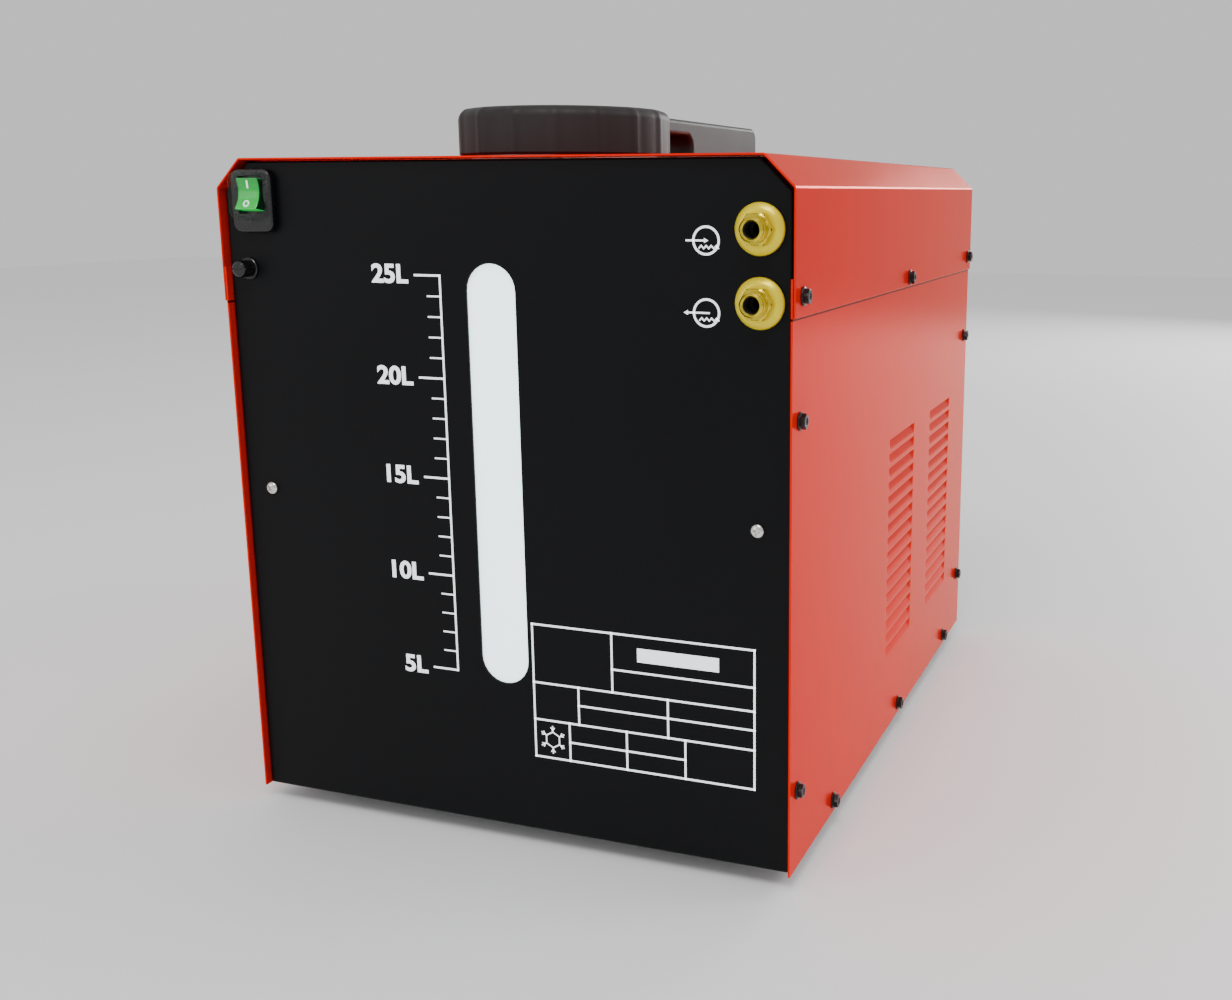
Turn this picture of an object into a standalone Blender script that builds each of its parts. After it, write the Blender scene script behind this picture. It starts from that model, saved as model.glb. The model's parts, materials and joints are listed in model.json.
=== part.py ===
"""TIG torch water cooler: a sheet-metal case with a coolant tank, a pump, a radiator and a fan.

Blender 4.5, metres, +Z up, front towards -Y. The origin is on the floor, at the centre of the
object's bounding box. Pieces are laid out in case coordinates: x from the middle of the case,
y back from the front edge of the red shell, z up from its lower edge.
"""
from math import atan2, cos, hypot, pi, radians, sin, sqrt, tan

import bmesh
import bpy
from mathutils import Matrix, Vector

# ---- Case ----
CASE_W = 0.382            # across the side flaps of the upper cover
CASE_D = 0.514            # front edge to rear edge of the red shell
CASE_H = 0.420            # lower edge to top of the red shell
CHAMFER = 0.018           # sloped shoulder, measured along x and along z
SHEET = 0.0012            # red cover and side panels
PANEL_SHEET = 0.0015      # black front and rear panels, tray and brackets
SHELF_SHEET = 0.0020
FIT = 0.0003              # gap between pieces that touch
SEAM_Z = 0.3315           # lower edge of the upper cover
LAP = 0.0215              # how far a side panel reaches up behind the cover
RECESS = 0.004            # black panels set back inside the shell's lip
FLANGE = 0.020            # turned-in edge of the black panels
FOOT_H = 0.012            # floor to the lower edge of the shell
FOOT_R = 0.016
FOOT_INSET = 0.050
TRAY_WALL = 0.024

# ---- Louvres ----
LOUVRE_COLUMNS = (0.268, 0.404)
LOUVRE_COUNT = 16
LOUVRE_PITCH = 0.0105
LOUVRE_FIRST_Z = 0.067
LOUVRE_LENGTH = 0.080
LOUVRE_HEIGHT = 0.0080
LOUVRE_DEPTH = 0.0030

# ---- Screws ----
SCREW_R = 0.0025
SCREW_HOLE_R = 0.0030
SCREW_HEX = 0.0080
SCREW_HEAD = 0.0040
WASHER_R = 0.0055
WASHER_T = 0.0012
SCREW_LENGTH = 0.009
SIDE_SCREW_Y = 0.014      # from the front and rear edges of the shell
COVER_SCREW_Z = 0.343
MIDDLE_SCREW = (0.274, 0.3380)
SIDE_SCREW_Z = (0.050, 0.273)
FRONT_SCREW = (0.168, 0.210)
FRONT_SCREW_R = 0.0042

# ---- Tank ----
TANK_W = 0.300
TANK_Z = 0.0345
TANK_TOP = 0.372
TANK_WALL = 0.004
TANK_CORNER = 0.022
TANK_ROUND = 0.006
LITRE_AREA = 0.0803       # inside plan area, so that the litre marks on the front agree
NECK_R = 0.0592
NECK_TOP = 0.4432
SPIGOT_R = 0.0060
SPIGOT_BORE = 0.0042
SUCTION_X = 0.085
SUCTION_Z = 0.070
RETURN_X = -0.110
RETURN_Z = 0.340
SPIGOT_LENGTH = 0.015

# ---- Cap ----
CAP_Y = 0.104
CAP_R = 0.0680
CAP_BOTTOM = 0.4215
CAP_TOP = 0.4505
CAP_LID = 0.0040
CAP_PANELS = 16
CAP_RIB = 0.0012
CAP_CLEARANCE = 0.0010    # between the neck and the inside of the cap
GASKET_T = 0.0024
GASKET_W = 0.008

# ---- Handle ----
HANDLE_FRONT = 0.178
HANDLE_LENGTH = 0.253
HANDLE_W = 0.032
HANDLE_H = 0.0325
HANDLE_GRIP = 0.0115
GRIP_START = 0.018        # from the handle's front end to the finger gap
GRIP_SPAN = 0.088
HANDLE_ROUND = 0.009

# ---- Level window ----
WINDOW_W = 0.0330
WINDOW_LOW = 0.0965
WINDOW_HIGH = 0.3580

# ---- Switch ----
SWITCH_BODY_W = 0.0235
SWITCH_X = SWITCH_BODY_W / 2 - 0.17575     # its outer side clears the panel's turned edge
SWITCH_Z = 0.3940
BEZEL_W = 0.030
BEZEL_H = 0.0385
BEZEL_T = 0.005
BEZEL_CORNER = 0.006
SWITCH_BODY_H = 0.030
SWITCH_BODY_D = 0.028
ROCKER_W = 0.0160
ROCKER_H = 0.0192
ROCKER_Z = 0.3970
ROCKER_TILT = 9.0         # degrees each side of the middle
POCKET_GAP = 0.0012
BOOT_W = 0.0217
BOOT_H = 0.0300
BOOT_D = 0.0100
BOOT_WALL = 0.0011
BOOT_CORNER = 0.006

# ---- Fuse ----
FUSE_X = -0.1735
FUSE_Z = 0.352
FUSE_BODY_R = 0.0058
FUSE_BODY_D = 0.038
FUSE_BORE = 0.0040
FUSE_CAP_R = 0.0053
FUSE_CAP_PROUD = 0.0085
FUSE_SLOT = 0.0012
FUSE_R = 0.0025
FUSE_LENGTH = 0.020

# ---- Couplings ----
COUPLING_X = 0.1695
COUPLING_ZS = (("inlet", 0.3795), ("outlet", 0.3392))
COUPLING_PROUD = 0.013    # in front of the shell's edge
COUPLING_BARREL = 0.0069
COUPLING_SOCKET = 0.0047
COUPLING_SOCKET_DEPTH = 0.014
COUPLING_BORE = 0.0032
COUPLING_HEX = 0.0170
COUPLING_HEX_T = 0.0055
COUPLING_THREAD = 0.0062
COUPLING_THREAD_END = 0.020
COUPLING_TAIL_END = 0.045
COUPLING_WASHER_R = 0.0147
COUPLING_WASHER_DISH = 0.0030
COUPLING_WASHER_T = 0.0012
LOCKNUT_HEX = 0.0190
LOCKNUT_T = 0.0050

# ---- Pump ----
PUMP_Y = 0.365
PUMP_Z = 0.070
MOTOR_LEFT = -0.075
MOTOR_RIGHT = 0.055
MOTOR_R = 0.048
MOTOR_BORE = 0.034
MOTOR_END = 0.005
ROTOR_R = 0.0325
SHAFT_R = 0.006
SHAFT_CLEARANCE = 0.0006
HEAD_X = (0.0555, 0.108)
HEAD_R = 0.040
HEAD_CHAMBER = 0.029
HEAD_WALL = 0.006
IMPELLER_R = 0.027
PORT_LENGTH = 0.014
CAPACITOR_R = 0.018
CAPACITOR_L = 0.070

# ---- Cooling ----
FAN_Z = 0.230
FAN_BORE = 0.0965
SHROUD_SIDE = 0.210
SHROUD_Y = 0.4405
SHROUD_CORNER = 0.008
HUB_R = 0.036
HUB_DEPTH = 0.022
SPINDLE_R = 0.004
STRUT = 0.008
ROTOR_HUB_R = 0.038
ROTOR_HUB_D = 0.026
BLADE_TIP = FAN_BORE - 0.0040
BLADE_CHORD = 0.034
BLADE_T = 0.0020
BLADE_COUNT = 7
BLADE_PITCH = 32.0
CORE_Y = 0.398
CORE_D = 0.042
CORE_SIDE = 0.210
CORE_SPIGOT_X = 0.090
CORE_SPIGOT_DROP = 0.020  # spigot below the core's top edge, or above its bottom edge
CORE_SPIGOT_LENGTH = 0.018
GUARD_R = 0.1005
GUARD_RINGS = 5
GUARD_WIRE = 0.0013

# ---- Rear connections ----
GLAND_X = 0.140
GLAND_Z = 0.055
GLAND_PROUD = 0.011       # behind the shell's rear edge
GLAND_BORE = 0.0048
GLAND_HEX = 0.0240
GLAND_THREAD = 0.0098
TERMINAL = (0.050, 0.030, 0.026)

# ---- Hoses ----
HOSE_R = 0.0095
HOSE_BORE = 0.0070
HOSE_SIDES = 8
HOSE_END_GAP = 0.0020     # from a hose's end to the face that its spigot stands on

# ---- Derived places ----
COVER_INSIDE = CASE_W / 2 - SHEET
SIDE_OUTSIDE = COVER_INSIDE - FIT
SIDE_INSIDE = SIDE_OUTSIDE - SHEET
PANEL_HALF = SIDE_INSIDE - FIT
PANEL_TOP = CASE_H - SHEET - FIT
PANEL_BOTTOM = FIT
PANEL_BACK = RECESS + PANEL_SHEET
REAR_FACE = CASE_D - RECESS
REAR_INSIDE = REAR_FACE - PANEL_SHEET
TRAY_HALF = PANEL_HALF - PANEL_SHEET - FIT
TRAY_UNDER = PANEL_BOTTOM + PANEL_SHEET + FIT
TRAY_FLOOR = TRAY_UNDER + PANEL_SHEET
TANK_FRONT = PANEL_BACK + 0.001
TANK_REAR = TANK_FRONT + LITRE_AREA / (TANK_W - 2 * TANK_WALL) + 2 * TANK_WALL
CAP_BORE = NECK_R + CAP_CLEARANCE
CORE_Z = FAN_Z
FRONT_Y = -(COUPLING_PROUD + CASE_D + GLAND_PROUD) / 2 + COUPLING_PROUD
CASE_ORIGIN = Vector((0, FRONT_Y, FOOT_H))
WHOLE_TURN = 2 * pi


# ---- Materials ----

def material(name, colour, roughness, metallic=0.0, alpha=1.0):
    """A plain finish in the piece's own colour."""
    finish = bpy.data.materials.new(name)
    finish.use_nodes = True
    shader = finish.node_tree.nodes["Principled BSDF"]
    shader.inputs["Base Color"].default_value = (*colour, 1)
    shader.inputs["Roughness"].default_value = roughness
    shader.inputs["Metallic"].default_value = metallic
    shader.inputs["Alpha"].default_value = alpha
    finish.diffuse_color = (*colour, alpha)
    return finish


# ---- Outlines: lists of (u, v) points, worked out from sizes ----

def arc(centre, radius, start, end, steps):
    """Points on an arc, angles in degrees."""
    points = []
    for step in range(steps + 1):
        angle = radians(start + (end - start) * step / steps)
        points.append((centre[0] + radius * cos(angle), centre[1] + radius * sin(angle)))
    return points


def circle(centre, radius, steps):
    return arc(centre, radius, 0, 360, steps)[:-1]


def rectangle(low, high):
    return [(low[0], low[1]), (high[0], low[1]), (high[0], high[1]), (low[0], high[1])]


def rounded_rectangle(low, high, radius, steps=4):
    corners = (
        ((high[0] - radius, low[1] + radius), -90),
        ((high[0] - radius, high[1] - radius), 0),
        ((low[0] + radius, high[1] - radius), 90),
        ((low[0] + radius, low[1] + radius), 180),
    )
    points = []
    for centre, start in corners:
        points += arc(centre, radius, start, start + 90, steps)
    return points


def pill(centre_u, low, high, width, steps=10):
    """An upright slot with round ends."""
    radius = width / 2
    top = arc((centre_u, high - radius), radius, 0, 180, steps)
    return top + arc((centre_u, low + radius), radius, 180, 360, steps)


def hexagon(centre, across_flats):
    return arc(centre, across_flats / sqrt(3), 0, 300, 5)


def case_outline(inset, bottom):
    """The case's front outline, square below and sloped at the two shoulders."""
    half = CASE_W / 2 - inset
    top = CASE_H - inset
    slope = CHAMFER - inset + inset * tan(pi / 8)
    return [(-half, bottom), (-half, top - slope), (-half + slope, top),
            (half - slope, top), (half, top - slope), (half, bottom)]


# ---- Solids ----

PLACE = {
    "X": lambda u, v, h: (h, u, v),
    "Y": lambda u, v, h: (u, h, v),
    "Z": lambda u, v, h: (u, v, h),
}


def prism(outline, axis, low, high):
    """A solid of constant outline between two heights along an axis."""
    mesh = bmesh.new()
    place = PLACE[axis]
    face = mesh.faces.new([mesh.verts.new(place(u, v, low)) for u, v in outline])
    grown = bmesh.ops.extrude_face_region(mesh, geom=[face])
    moved = [item for item in grown["geom"] if isinstance(item, bmesh.types.BMVert)]
    bmesh.ops.translate(mesh, verts=moved, vec=place(0, 0, high - low))
    bmesh.ops.recalc_face_normals(mesh, faces=mesh.faces)
    return mesh


def block(low, high):
    return prism(rectangle(low[:2], high[:2]), "Z", low[2], high[2])


def turned(profile, axis, centre, steps):
    """A solid of revolution from a closed (radius, height) profile."""
    mesh = bmesh.new()
    place = PLACE[axis]
    verts = [mesh.verts.new(place(radius, 0, height)) for radius, height in profile]
    pairs = zip(verts, verts[1:] + verts[:1])
    edges = [mesh.edges.new(pair) for pair in pairs if max(abs(c) for c in off_axis(pair, axis)) > 1e-9]
    direction = place(0, 0, 1)
    bmesh.ops.spin(mesh, geom=verts + edges, cent=(0, 0, 0), axis=direction,
                   angle=WHOLE_TURN, steps=steps, use_merge=True)
    bmesh.ops.remove_doubles(mesh, verts=mesh.verts, dist=1e-6)
    bmesh.ops.recalc_face_normals(mesh, faces=mesh.faces)
    bmesh.ops.translate(mesh, verts=mesh.verts, vec=centre)
    return mesh


def off_axis(pair, axis):
    """The part of two points' positions that lies off the axis."""
    kept = {"X": (1, 2), "Y": (0, 2), "Z": (0, 1)}[axis]
    return [vert.co[index] for vert in pair for index in kept]


def straight_lead(end, knot, after):
    """The control point that makes a curve leave a knot in line with the stretch before it."""
    return after - 2 * (after - knot).length * (knot - end).normalized()


def smooth_route(points, steps):
    """A smooth curve through hand-set points, straight along its first and last stretch."""
    knots = [Vector(point) for point in points]
    if len(knots) == 2:
        return knots
    first = straight_lead(knots[0], knots[1], knots[2])
    last = straight_lead(knots[-1], knots[-2], knots[-3])
    inner = [first] + knots[1:-1] + [last]
    route = [knots[0]]
    for before, start, end, after in zip(inner, inner[1:], inner[2:], inner[3:]):
        for step in range(steps):
            t = step / steps
            route.append(0.5 * (2 * start + (end - before) * t
                                + (2 * before - 5 * start + 4 * end - after) * t * t
                                + (3 * start - before - 3 * end + after) * t * t * t))
    return route + knots[-2:]


def ring_around(mesh, point, side, up, radius):
    ring = []
    for step in range(HOSE_SIDES):
        angle = WHOLE_TURN * step / HOSE_SIDES
        ring.append(mesh.verts.new(point + radius * (cos(angle) * side + sin(angle) * up)))
    return ring


def skin(mesh, first, second):
    """Faces between two rings of the same count."""
    count = len(first)
    for step in range(count):
        after = (step + 1) % count
        mesh.faces.new((first[step], first[after], second[after], second[step]))


def tube(route, radius, bore):
    """A hose with an open bore, swept along a route."""
    mesh = bmesh.new()
    tangents = [(b - a).normalized() for a, b in zip(route, route[1:])]
    between = [(a + b).normalized() for a, b in zip(tangents, tangents[1:])]
    tangents = [tangents[0]] + between + [tangents[-1]]
    side = tangents[0].orthogonal().normalized()
    outer = []
    inner = []
    for index, point in enumerate(route):
        if index:
            side = tangents[index - 1].rotation_difference(tangents[index]) @ side
        up = tangents[index].cross(side)
        outer.append(ring_around(mesh, point, side, up, radius))
        inner.append(ring_around(mesh, point, side, up, bore))
    for rings in (outer, inner):
        for first, second in zip(rings, rings[1:]):
            skin(mesh, first, second)
    skin(mesh, outer[0], inner[0])
    skin(mesh, outer[-1], inner[-1])
    bmesh.ops.recalc_face_normals(mesh, faces=mesh.faces)
    return mesh


def gathered(meshes):
    """Several solids in one mesh, to use as one tool."""
    whole = bmesh.new()
    for part in meshes:
        data = bpy.data.meshes.new("gathered")
        part.to_mesh(data)
        part.free()
        whole.from_mesh(data)
        bpy.data.meshes.remove(data)
    return whole


# ---- Objects ----

def piece(name, solid, finish, origin=(0, 0, 0), sharp=None):
    """An object in case coordinates, its origin at the given point."""
    centre = Vector(origin)
    bmesh.ops.translate(solid, verts=solid.verts, vec=-centre)
    data = bpy.data.meshes.new(name)
    solid.to_mesh(data)
    solid.free()
    data.materials.append(finish)
    made = bpy.data.objects.new(name, data)
    made.location = CASE_ORIGIN + centre
    bpy.context.collection.objects.link(made)
    made["sharp"] = sharp or 0
    return made


def combine(made, operation, solids):
    """Join solids to a piece or cut them from it, given in case coordinates."""
    whole = gathered(solids)
    bmesh.ops.translate(whole, verts=whole.verts, vec=CASE_ORIGIN)
    data = bpy.data.meshes.new(made.name + "_tool")
    whole.to_mesh(data)
    whole.free()
    tool = bpy.data.objects.new(made.name + "_tool", data)
    tool.hide_render = True
    tool.display_type = "WIRE"
    bpy.context.collection.objects.link(tool)
    modifier = made.modifiers.new(operation.lower(), "BOOLEAN")
    modifier.operation = operation
    modifier.solver = "EXACT"
    modifier.object = tool
    return made


def join(made, *solids):
    return combine(made, "UNION", solids)


def cut(made, *solids):
    return combine(made, "DIFFERENCE", solids)


def round_edges(made, width, segments=2, limit=40):
    bevel = made.modifiers.new("round", "BEVEL")
    bevel.width = width
    bevel.segments = segments
    bevel.limit_method = "ANGLE"
    bevel.angle_limit = radians(limit)
    return made


def settle(made):
    """Apply a piece's modifiers and remove the tools they used."""
    depsgraph = bpy.context.evaluated_depsgraph_get()
    solid = bpy.data.meshes.new_from_object(made.evaluated_get(depsgraph))
    tools = [modifier.object for modifier in made.modifiers if modifier.type == "BOOLEAN"]
    made.modifiers.clear()
    made.data = solid
    solid.name = made.name
    for tool in tools:
        bpy.data.objects.remove(tool)
    if made["sharp"]:
        solid.shade_smooth()
        solid.set_sharp_from_angle(angle=radians(made["sharp"]))
    return made


def copy_of(made, name, location, turn=None):
    """Another object on the same mesh, at a place in case coordinates."""
    twin = bpy.data.objects.new(name, made.data)
    twin.location = CASE_ORIGIN + Vector(location)
    twin.rotation_euler = turn or (0, 0, 0)
    bpy.context.collection.objects.link(twin)
    return twin


# ---- Case pieces ----

def upper_cover(finish):
    outer = case_outline(0, SEAM_Z)
    inner = case_outline(SHEET, SEAM_Z)
    made = piece("upper_cover", prism(outer + inner[::-1], "Y", 0, CASE_D), finish)
    hole_r = NECK_R + 0.003
    cut(made, prism(circle((0, CAP_Y), hole_r, 40), "Z", CASE_H - 0.01, CASE_H + 0.01),
        *side_holes(cover_screws(), 1),
        *side_holes(cover_screws(), -1))
    return settle(made)


def cover_screws():
    """The (y, z) places of the screws in one flap; the middle one sits a little lower."""
    return [(SIDE_SCREW_Y, COVER_SCREW_Z), MIDDLE_SCREW, (CASE_D - SIDE_SCREW_Y, COVER_SCREW_Z)]


def panel_screws(*ys):
    """The (y, z) places of the screws in one side panel, on the given lines."""
    return [(y, z) for y in ys for z in SIDE_SCREW_Z]


def side_holes(places, side):
    """Screw holes through one side of the case."""
    inside = side * (PANEL_HALF - 0.006)
    outside = side * (CASE_W / 2 + 0.002)
    low, high = sorted((inside, outside))
    return [prism(circle((y, z), SCREW_HOLE_R, 8), "X", low, high) for y, z in places]


def louvre_rows():
    return [(y, LOUVRE_FIRST_Z + LOUVRE_PITCH * row) for y in LOUVRE_COLUMNS for row in range(LOUVRE_COUNT)]


def louvre_blade(side, y, z):
    """A louvre's pressed-in blade before its hollow is cut: flush below, deepest along the top."""
    outside = side * (SIDE_OUTSIDE - SHEET / 2)
    deep = side * (SIDE_OUTSIDE - LOUVRE_DEPTH - SHEET)
    low = z - LOUVRE_HEIGHT
    outline = [(outside, low), (outside, z), (deep, z), (side * SIDE_INSIDE, low)]
    return prism_across(outline, y, LOUVRE_LENGTH / 2)


def louvre_hollow(side, y, z):
    """The hollow in front of a blade; air passes over the blade's top edge."""
    clear = side * (SIDE_OUTSIDE + 0.001)
    face = side * SIDE_OUTSIDE
    deep = side * (SIDE_OUTSIDE - LOUVRE_DEPTH)
    low = z - LOUVRE_HEIGHT + SHEET / 2
    outline = [(clear, low), (face, low), (deep, z + FIT), (clear, z + FIT)]
    return prism_across(outline, y, LOUVRE_LENGTH / 2 - SHEET)


def prism_across(outline, y, half):
    """An (x, z) outline carried along Y, to both sides of its middle."""
    return prism(outline, "Y", y - half, y + half)


def side_panel(name, side, finish):
    low, high = sorted((side * SIDE_INSIDE, side * SIDE_OUTSIDE))
    made = piece(name, block((low, 0, 0), (high, CASE_D, SEAM_Z + LAP)), finish)
    join(made, *[louvre_blade(side, y, z) for y, z in louvre_rows()])
    cut(made, *[louvre_hollow(side, y, z) for y, z in louvre_rows()],
        *side_holes(cover_screws() + panel_screws(SIDE_SCREW_Y, CASE_D - SIDE_SCREW_Y), side))
    return settle(made)


def panel_pan(name, face_y, inward, finish):
    """A black end panel: a flat face with its edges turned in."""
    outline = case_outline(CASE_W / 2 - PANEL_HALF, PANEL_BOTTOM)
    pocket = case_outline(CASE_W / 2 - PANEL_HALF + PANEL_SHEET, PANEL_BOTTOM + PANEL_SHEET)
    low, high = sorted((face_y, face_y + inward * FLANGE))
    made = piece(name, prism(outline, "Y", low, high), finish)
    low, high = sorted((face_y + inward * PANEL_SHEET, face_y + inward * (FLANGE + 0.001)))
    cut(made, prism(pocket, "Y", low, high))
    return made


def front_panel(finish):
    made = panel_pan("front_panel", RECESS, 1, finish)
    span = (RECESS - 0.001, PANEL_BACK + 0.001)
    holes = [
        prism(pill(0, WINDOW_LOW, WINDOW_HIGH, WINDOW_W), "Y", *span),
        prism(switch_cutout(), "Y", *span),
        prism(circle((FUSE_X, FUSE_Z), FUSE_BODY_R + FIT, 16), "Y", *span),
    ]
    for _, z in COUPLING_ZS:
        holes.append(prism(circle((COUPLING_X, z), COUPLING_THREAD + FIT, 16), "Y", *span))
    for side in (-1, 1):
        holes.append(prism(circle((side * FRONT_SCREW[0], FRONT_SCREW[1]), SCREW_HOLE_R, 12), "Y", *span))
        holes += side_holes(panel_screws(SIDE_SCREW_Y) + cover_screws()[:1], side)
    return settle(cut(made, *holes))


def switch_cutout():
    half_w = SWITCH_BODY_W / 2 + FIT
    half_h = SWITCH_BODY_H / 2 + FIT
    return rectangle((SWITCH_X - half_w, SWITCH_Z - half_h), (SWITCH_X + half_w, SWITCH_Z + half_h))


def rear_panel(finish):
    made = panel_pan("rear_panel", REAR_FACE, -1, finish)
    span = (REAR_INSIDE - 0.001, REAR_FACE + 0.001)
    holes = [
        prism(circle((0, FAN_Z), FAN_BORE, 40), "Y", *span),
        prism(circle((GLAND_X, GLAND_Z), GLAND_THREAD + FIT, 20), "Y", *span),
    ]
    for side in (-1, 1):
        holes += side_holes(panel_screws(CASE_D - SIDE_SCREW_Y) + cover_screws()[2:], side)
    return settle(cut(made, *holes))


def base_tray(finish):
    front = PANEL_BACK + FIT
    rear = REAR_INSIDE - FIT
    wall = PANEL_SHEET
    made = piece("base_tray", block((-TRAY_HALF, front, TRAY_UNDER), (TRAY_HALF, rear, TRAY_WALL)), finish)
    cut(made, block((wall - TRAY_HALF, front + wall, TRAY_FLOOR),
                    (TRAY_HALF - wall, rear - wall, TRAY_WALL + 0.01)))
    return settle(made)


def foot_places():
    across = CASE_W / 2 - FOOT_INSET
    return (
        ("foot_front_left", -across, FOOT_INSET),
        ("foot_front_right", across, FOOT_INSET),
        ("foot_rear_left", -across, CASE_D - FOOT_INSET),
        ("foot_rear_right", across, CASE_D - FOOT_INSET),
    )


def feet(finish):
    height = FOOT_H + TRAY_UNDER - FIT
    profile = [(0, 0), (FOOT_R - 0.002, 0), (FOOT_R, 0.002), (FOOT_R - 0.001, height), (0, height)]
    name, x, y = foot_places()[0]
    first = piece(name, turned(profile, "Z", (x, y, -FOOT_H), 20), finish, (x, y, -FOOT_H), 30)
    settle(first)
    for name, x, y in foot_places()[1:]:
        copy_of(first, name, (x, y, -FOOT_H))


# ---- Screws ----

def hex_screw_solid(finish, name, place):
    """A flanged hex screw along +X, its washer's inner face at the origin."""
    made = piece(name, prism(circle((0, 0), SCREW_R, 8), "X", -SCREW_LENGTH, WASHER_T / 2), finish)
    join(made, prism(circle((0, 0), WASHER_R, 12), "X", 0, WASHER_T))
    join(made, prism(hexagon((0, 0), SCREW_HEX), "X", WASHER_T / 2, SCREW_HEAD))
    settle(made)
    made.location = CASE_ORIGIN + Vector(place)
    return made


def side_screws(finish):
    """The flanged hex screws of the cover flaps and the side panels, both sides."""
    places = []
    for side, word in ((-1, "left"), (1, "right")):
        for number, (y, z) in enumerate(cover_screws(), 1):
            places.append((f"cover_screw_{word}_{number}", side, CASE_W / 2 + FIT, y, z))
        for number, (y, z) in enumerate(panel_screws(SIDE_SCREW_Y, CASE_D - SIDE_SCREW_Y), 1):
            places.append((f"panel_screw_{word}_{number}", side, SIDE_OUTSIDE + FIT, y, z))
    first = None
    for name, side, x, y, z in places:
        turn = (0, 0, 0 if side > 0 else pi)
        if first is None:
            first = hex_screw_solid(finish, name, (side * x, y, z))
            first.rotation_euler = turn
        else:
            copy_of(first, name, (side * x, y, z), turn)


def front_screws(finish):
    """Pan-head screws through the front panel into the tank brackets."""
    rim = FRONT_SCREW_R
    profile = [(0, SCREW_LENGTH), (SCREW_R, SCREW_LENGTH), (SCREW_R, 0), (rim, 0), (rim, -0.0008),
               (rim * 0.86, -0.0019), (rim * 0.5, -0.0025), (0, -0.0027)]
    first = None
    for side, word in ((-1, "left"), (1, "right")):
        place = (side * FRONT_SCREW[0], RECESS - FIT, FRONT_SCREW[1])
        name = f"front_screw_{word}"
        if first is None:
            first = settle(piece(name, turned(profile, "Y", place, 12), finish, place, 30))
        else:
            copy_of(first, name, place)


# ---- Tank ----

def coolant_tank(finish):
    half = TANK_W / 2
    low = (-half, TANK_FRONT)
    high = (half, TANK_REAR)
    wall = TANK_WALL
    body = prism(rounded_rectangle(low, high, TANK_CORNER), "Z", TANK_Z, TANK_TOP)
    made = piece("coolant_tank", body, finish, sharp=30)
    round_edges(made, TANK_ROUND, 1, 60)
    spigots = [spigot((SUCTION_X, TANK_REAR, SUCTION_Z), 1, SPIGOT_LENGTH, SPIGOT_R),
               spigot((RETURN_X, TANK_REAR, RETURN_Z), 1, SPIGOT_LENGTH, SPIGOT_R)]
    neck = prism(circle((0, CAP_Y), NECK_R, 32), "Z", TANK_TOP - wall / 2, NECK_TOP)
    join(made, neck, *spigots)
    inside = rounded_rectangle((wall - half, TANK_FRONT + wall), (half - wall, TANK_REAR - wall),
                               TANK_CORNER - wall)
    cut(made, prism(inside, "Z", TANK_Z + wall, TANK_TOP - wall))
    cut(made, prism(circle((0, CAP_Y), NECK_R - wall, 32), "Z", TANK_TOP - 2 * wall, NECK_TOP + 0.01),
        spigot((SUCTION_X, TANK_REAR - wall, SUCTION_Z), 1, SPIGOT_LENGTH + 2 * wall, SPIGOT_BORE),
        spigot((RETURN_X, TANK_REAR - wall, RETURN_Z), 1, SPIGOT_LENGTH + 2 * wall, SPIGOT_BORE))
    return settle(made)


def spigot(root, direction, length, radius):
    """A stub along Y from a face, sunk 1 mm into it."""
    low, high = sorted((root[1] - direction * 0.001, root[1] + direction * length))
    return prism(circle((root[0], root[2]), radius, 12), "Y", low, high)


def tank_shelf(finish):
    """A folded shelf that carries the tank above the tray."""
    front = TANK_FRONT + 0.006
    rear = TANK_REAR - 0.006
    top = TANK_Z - FIT
    foot = TRAY_FLOOR + FIT
    sheet = SHELF_SHEET
    outline = [(front, foot), (front, top), (rear, top), (rear, foot), (rear - sheet, foot),
               (rear - sheet, top - sheet), (front + sheet, top - sheet), (front + sheet, foot)]
    half = TANK_W / 2 - 0.010
    return settle(piece("tank_shelf", prism(outline, "X", -half, half), finish))


def tank_brackets(finish):
    """Upright angles beside the tank, which the two front screws hold."""
    web = TANK_W / 2 + 0.002
    reach = FRONT_SCREW[0] + 0.010
    front = PANEL_BACK + FIT
    sheet = PANEL_SHEET
    for side, word in ((-1, "left"), (1, "right")):
        outline = [(side * web, front), (side * reach, front), (side * reach, front + sheet),
                   (side * (web + sheet), front + sheet), (side * (web + sheet), front + 0.050),
                   (side * web, front + 0.050)]
        angle = prism(outline, "Z", TRAY_WALL + 0.002, FRONT_SCREW[1] + 0.015)
        made = piece(f"tank_bracket_{word}", angle, finish)
        hole = circle((side * FRONT_SCREW[0], FRONT_SCREW[1]), SCREW_HOLE_R, 12)
        settle(cut(made, prism(hole, "Y", front - 0.001, front + sheet + 0.001)))


def tank_cap(finish):
    outline = []
    groove_r = CAP_R - CAP_RIB
    share = 360 / CAP_PANELS
    for panel in range(CAP_PANELS):
        middle = panel * share
        for offset, radius in ((-1.0, CAP_R), (1.0, CAP_R), (2.0, groove_r), (share - 2.0, groove_r)):
            angle = radians(middle + offset)
            outline.append((radius * cos(angle), CAP_Y + radius * sin(angle)))
    origin = (0, CAP_Y, CAP_BOTTOM)
    made = piece("tank_cap", prism(outline, "Z", CAP_BOTTOM, CAP_TOP), finish, origin, 30)
    cut(made, prism(circle((0, CAP_Y), CAP_BORE, 40), "Z", CAP_BOTTOM - 0.01, CAP_TOP - CAP_LID))
    return settle(made)


def cap_gasket(finish):
    top = CAP_TOP - CAP_LID - FIT
    bottom = top - GASKET_T
    outer = CAP_BORE - 0.0004
    profile = [(outer, bottom), (outer, top), (outer - GASKET_W, top), (outer - GASKET_W, bottom)]
    ring = turned(profile, "Z", (0, CAP_Y, 0), 32)
    return settle(piece("cap_gasket", ring, finish, (0, CAP_Y, bottom), 30))


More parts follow.
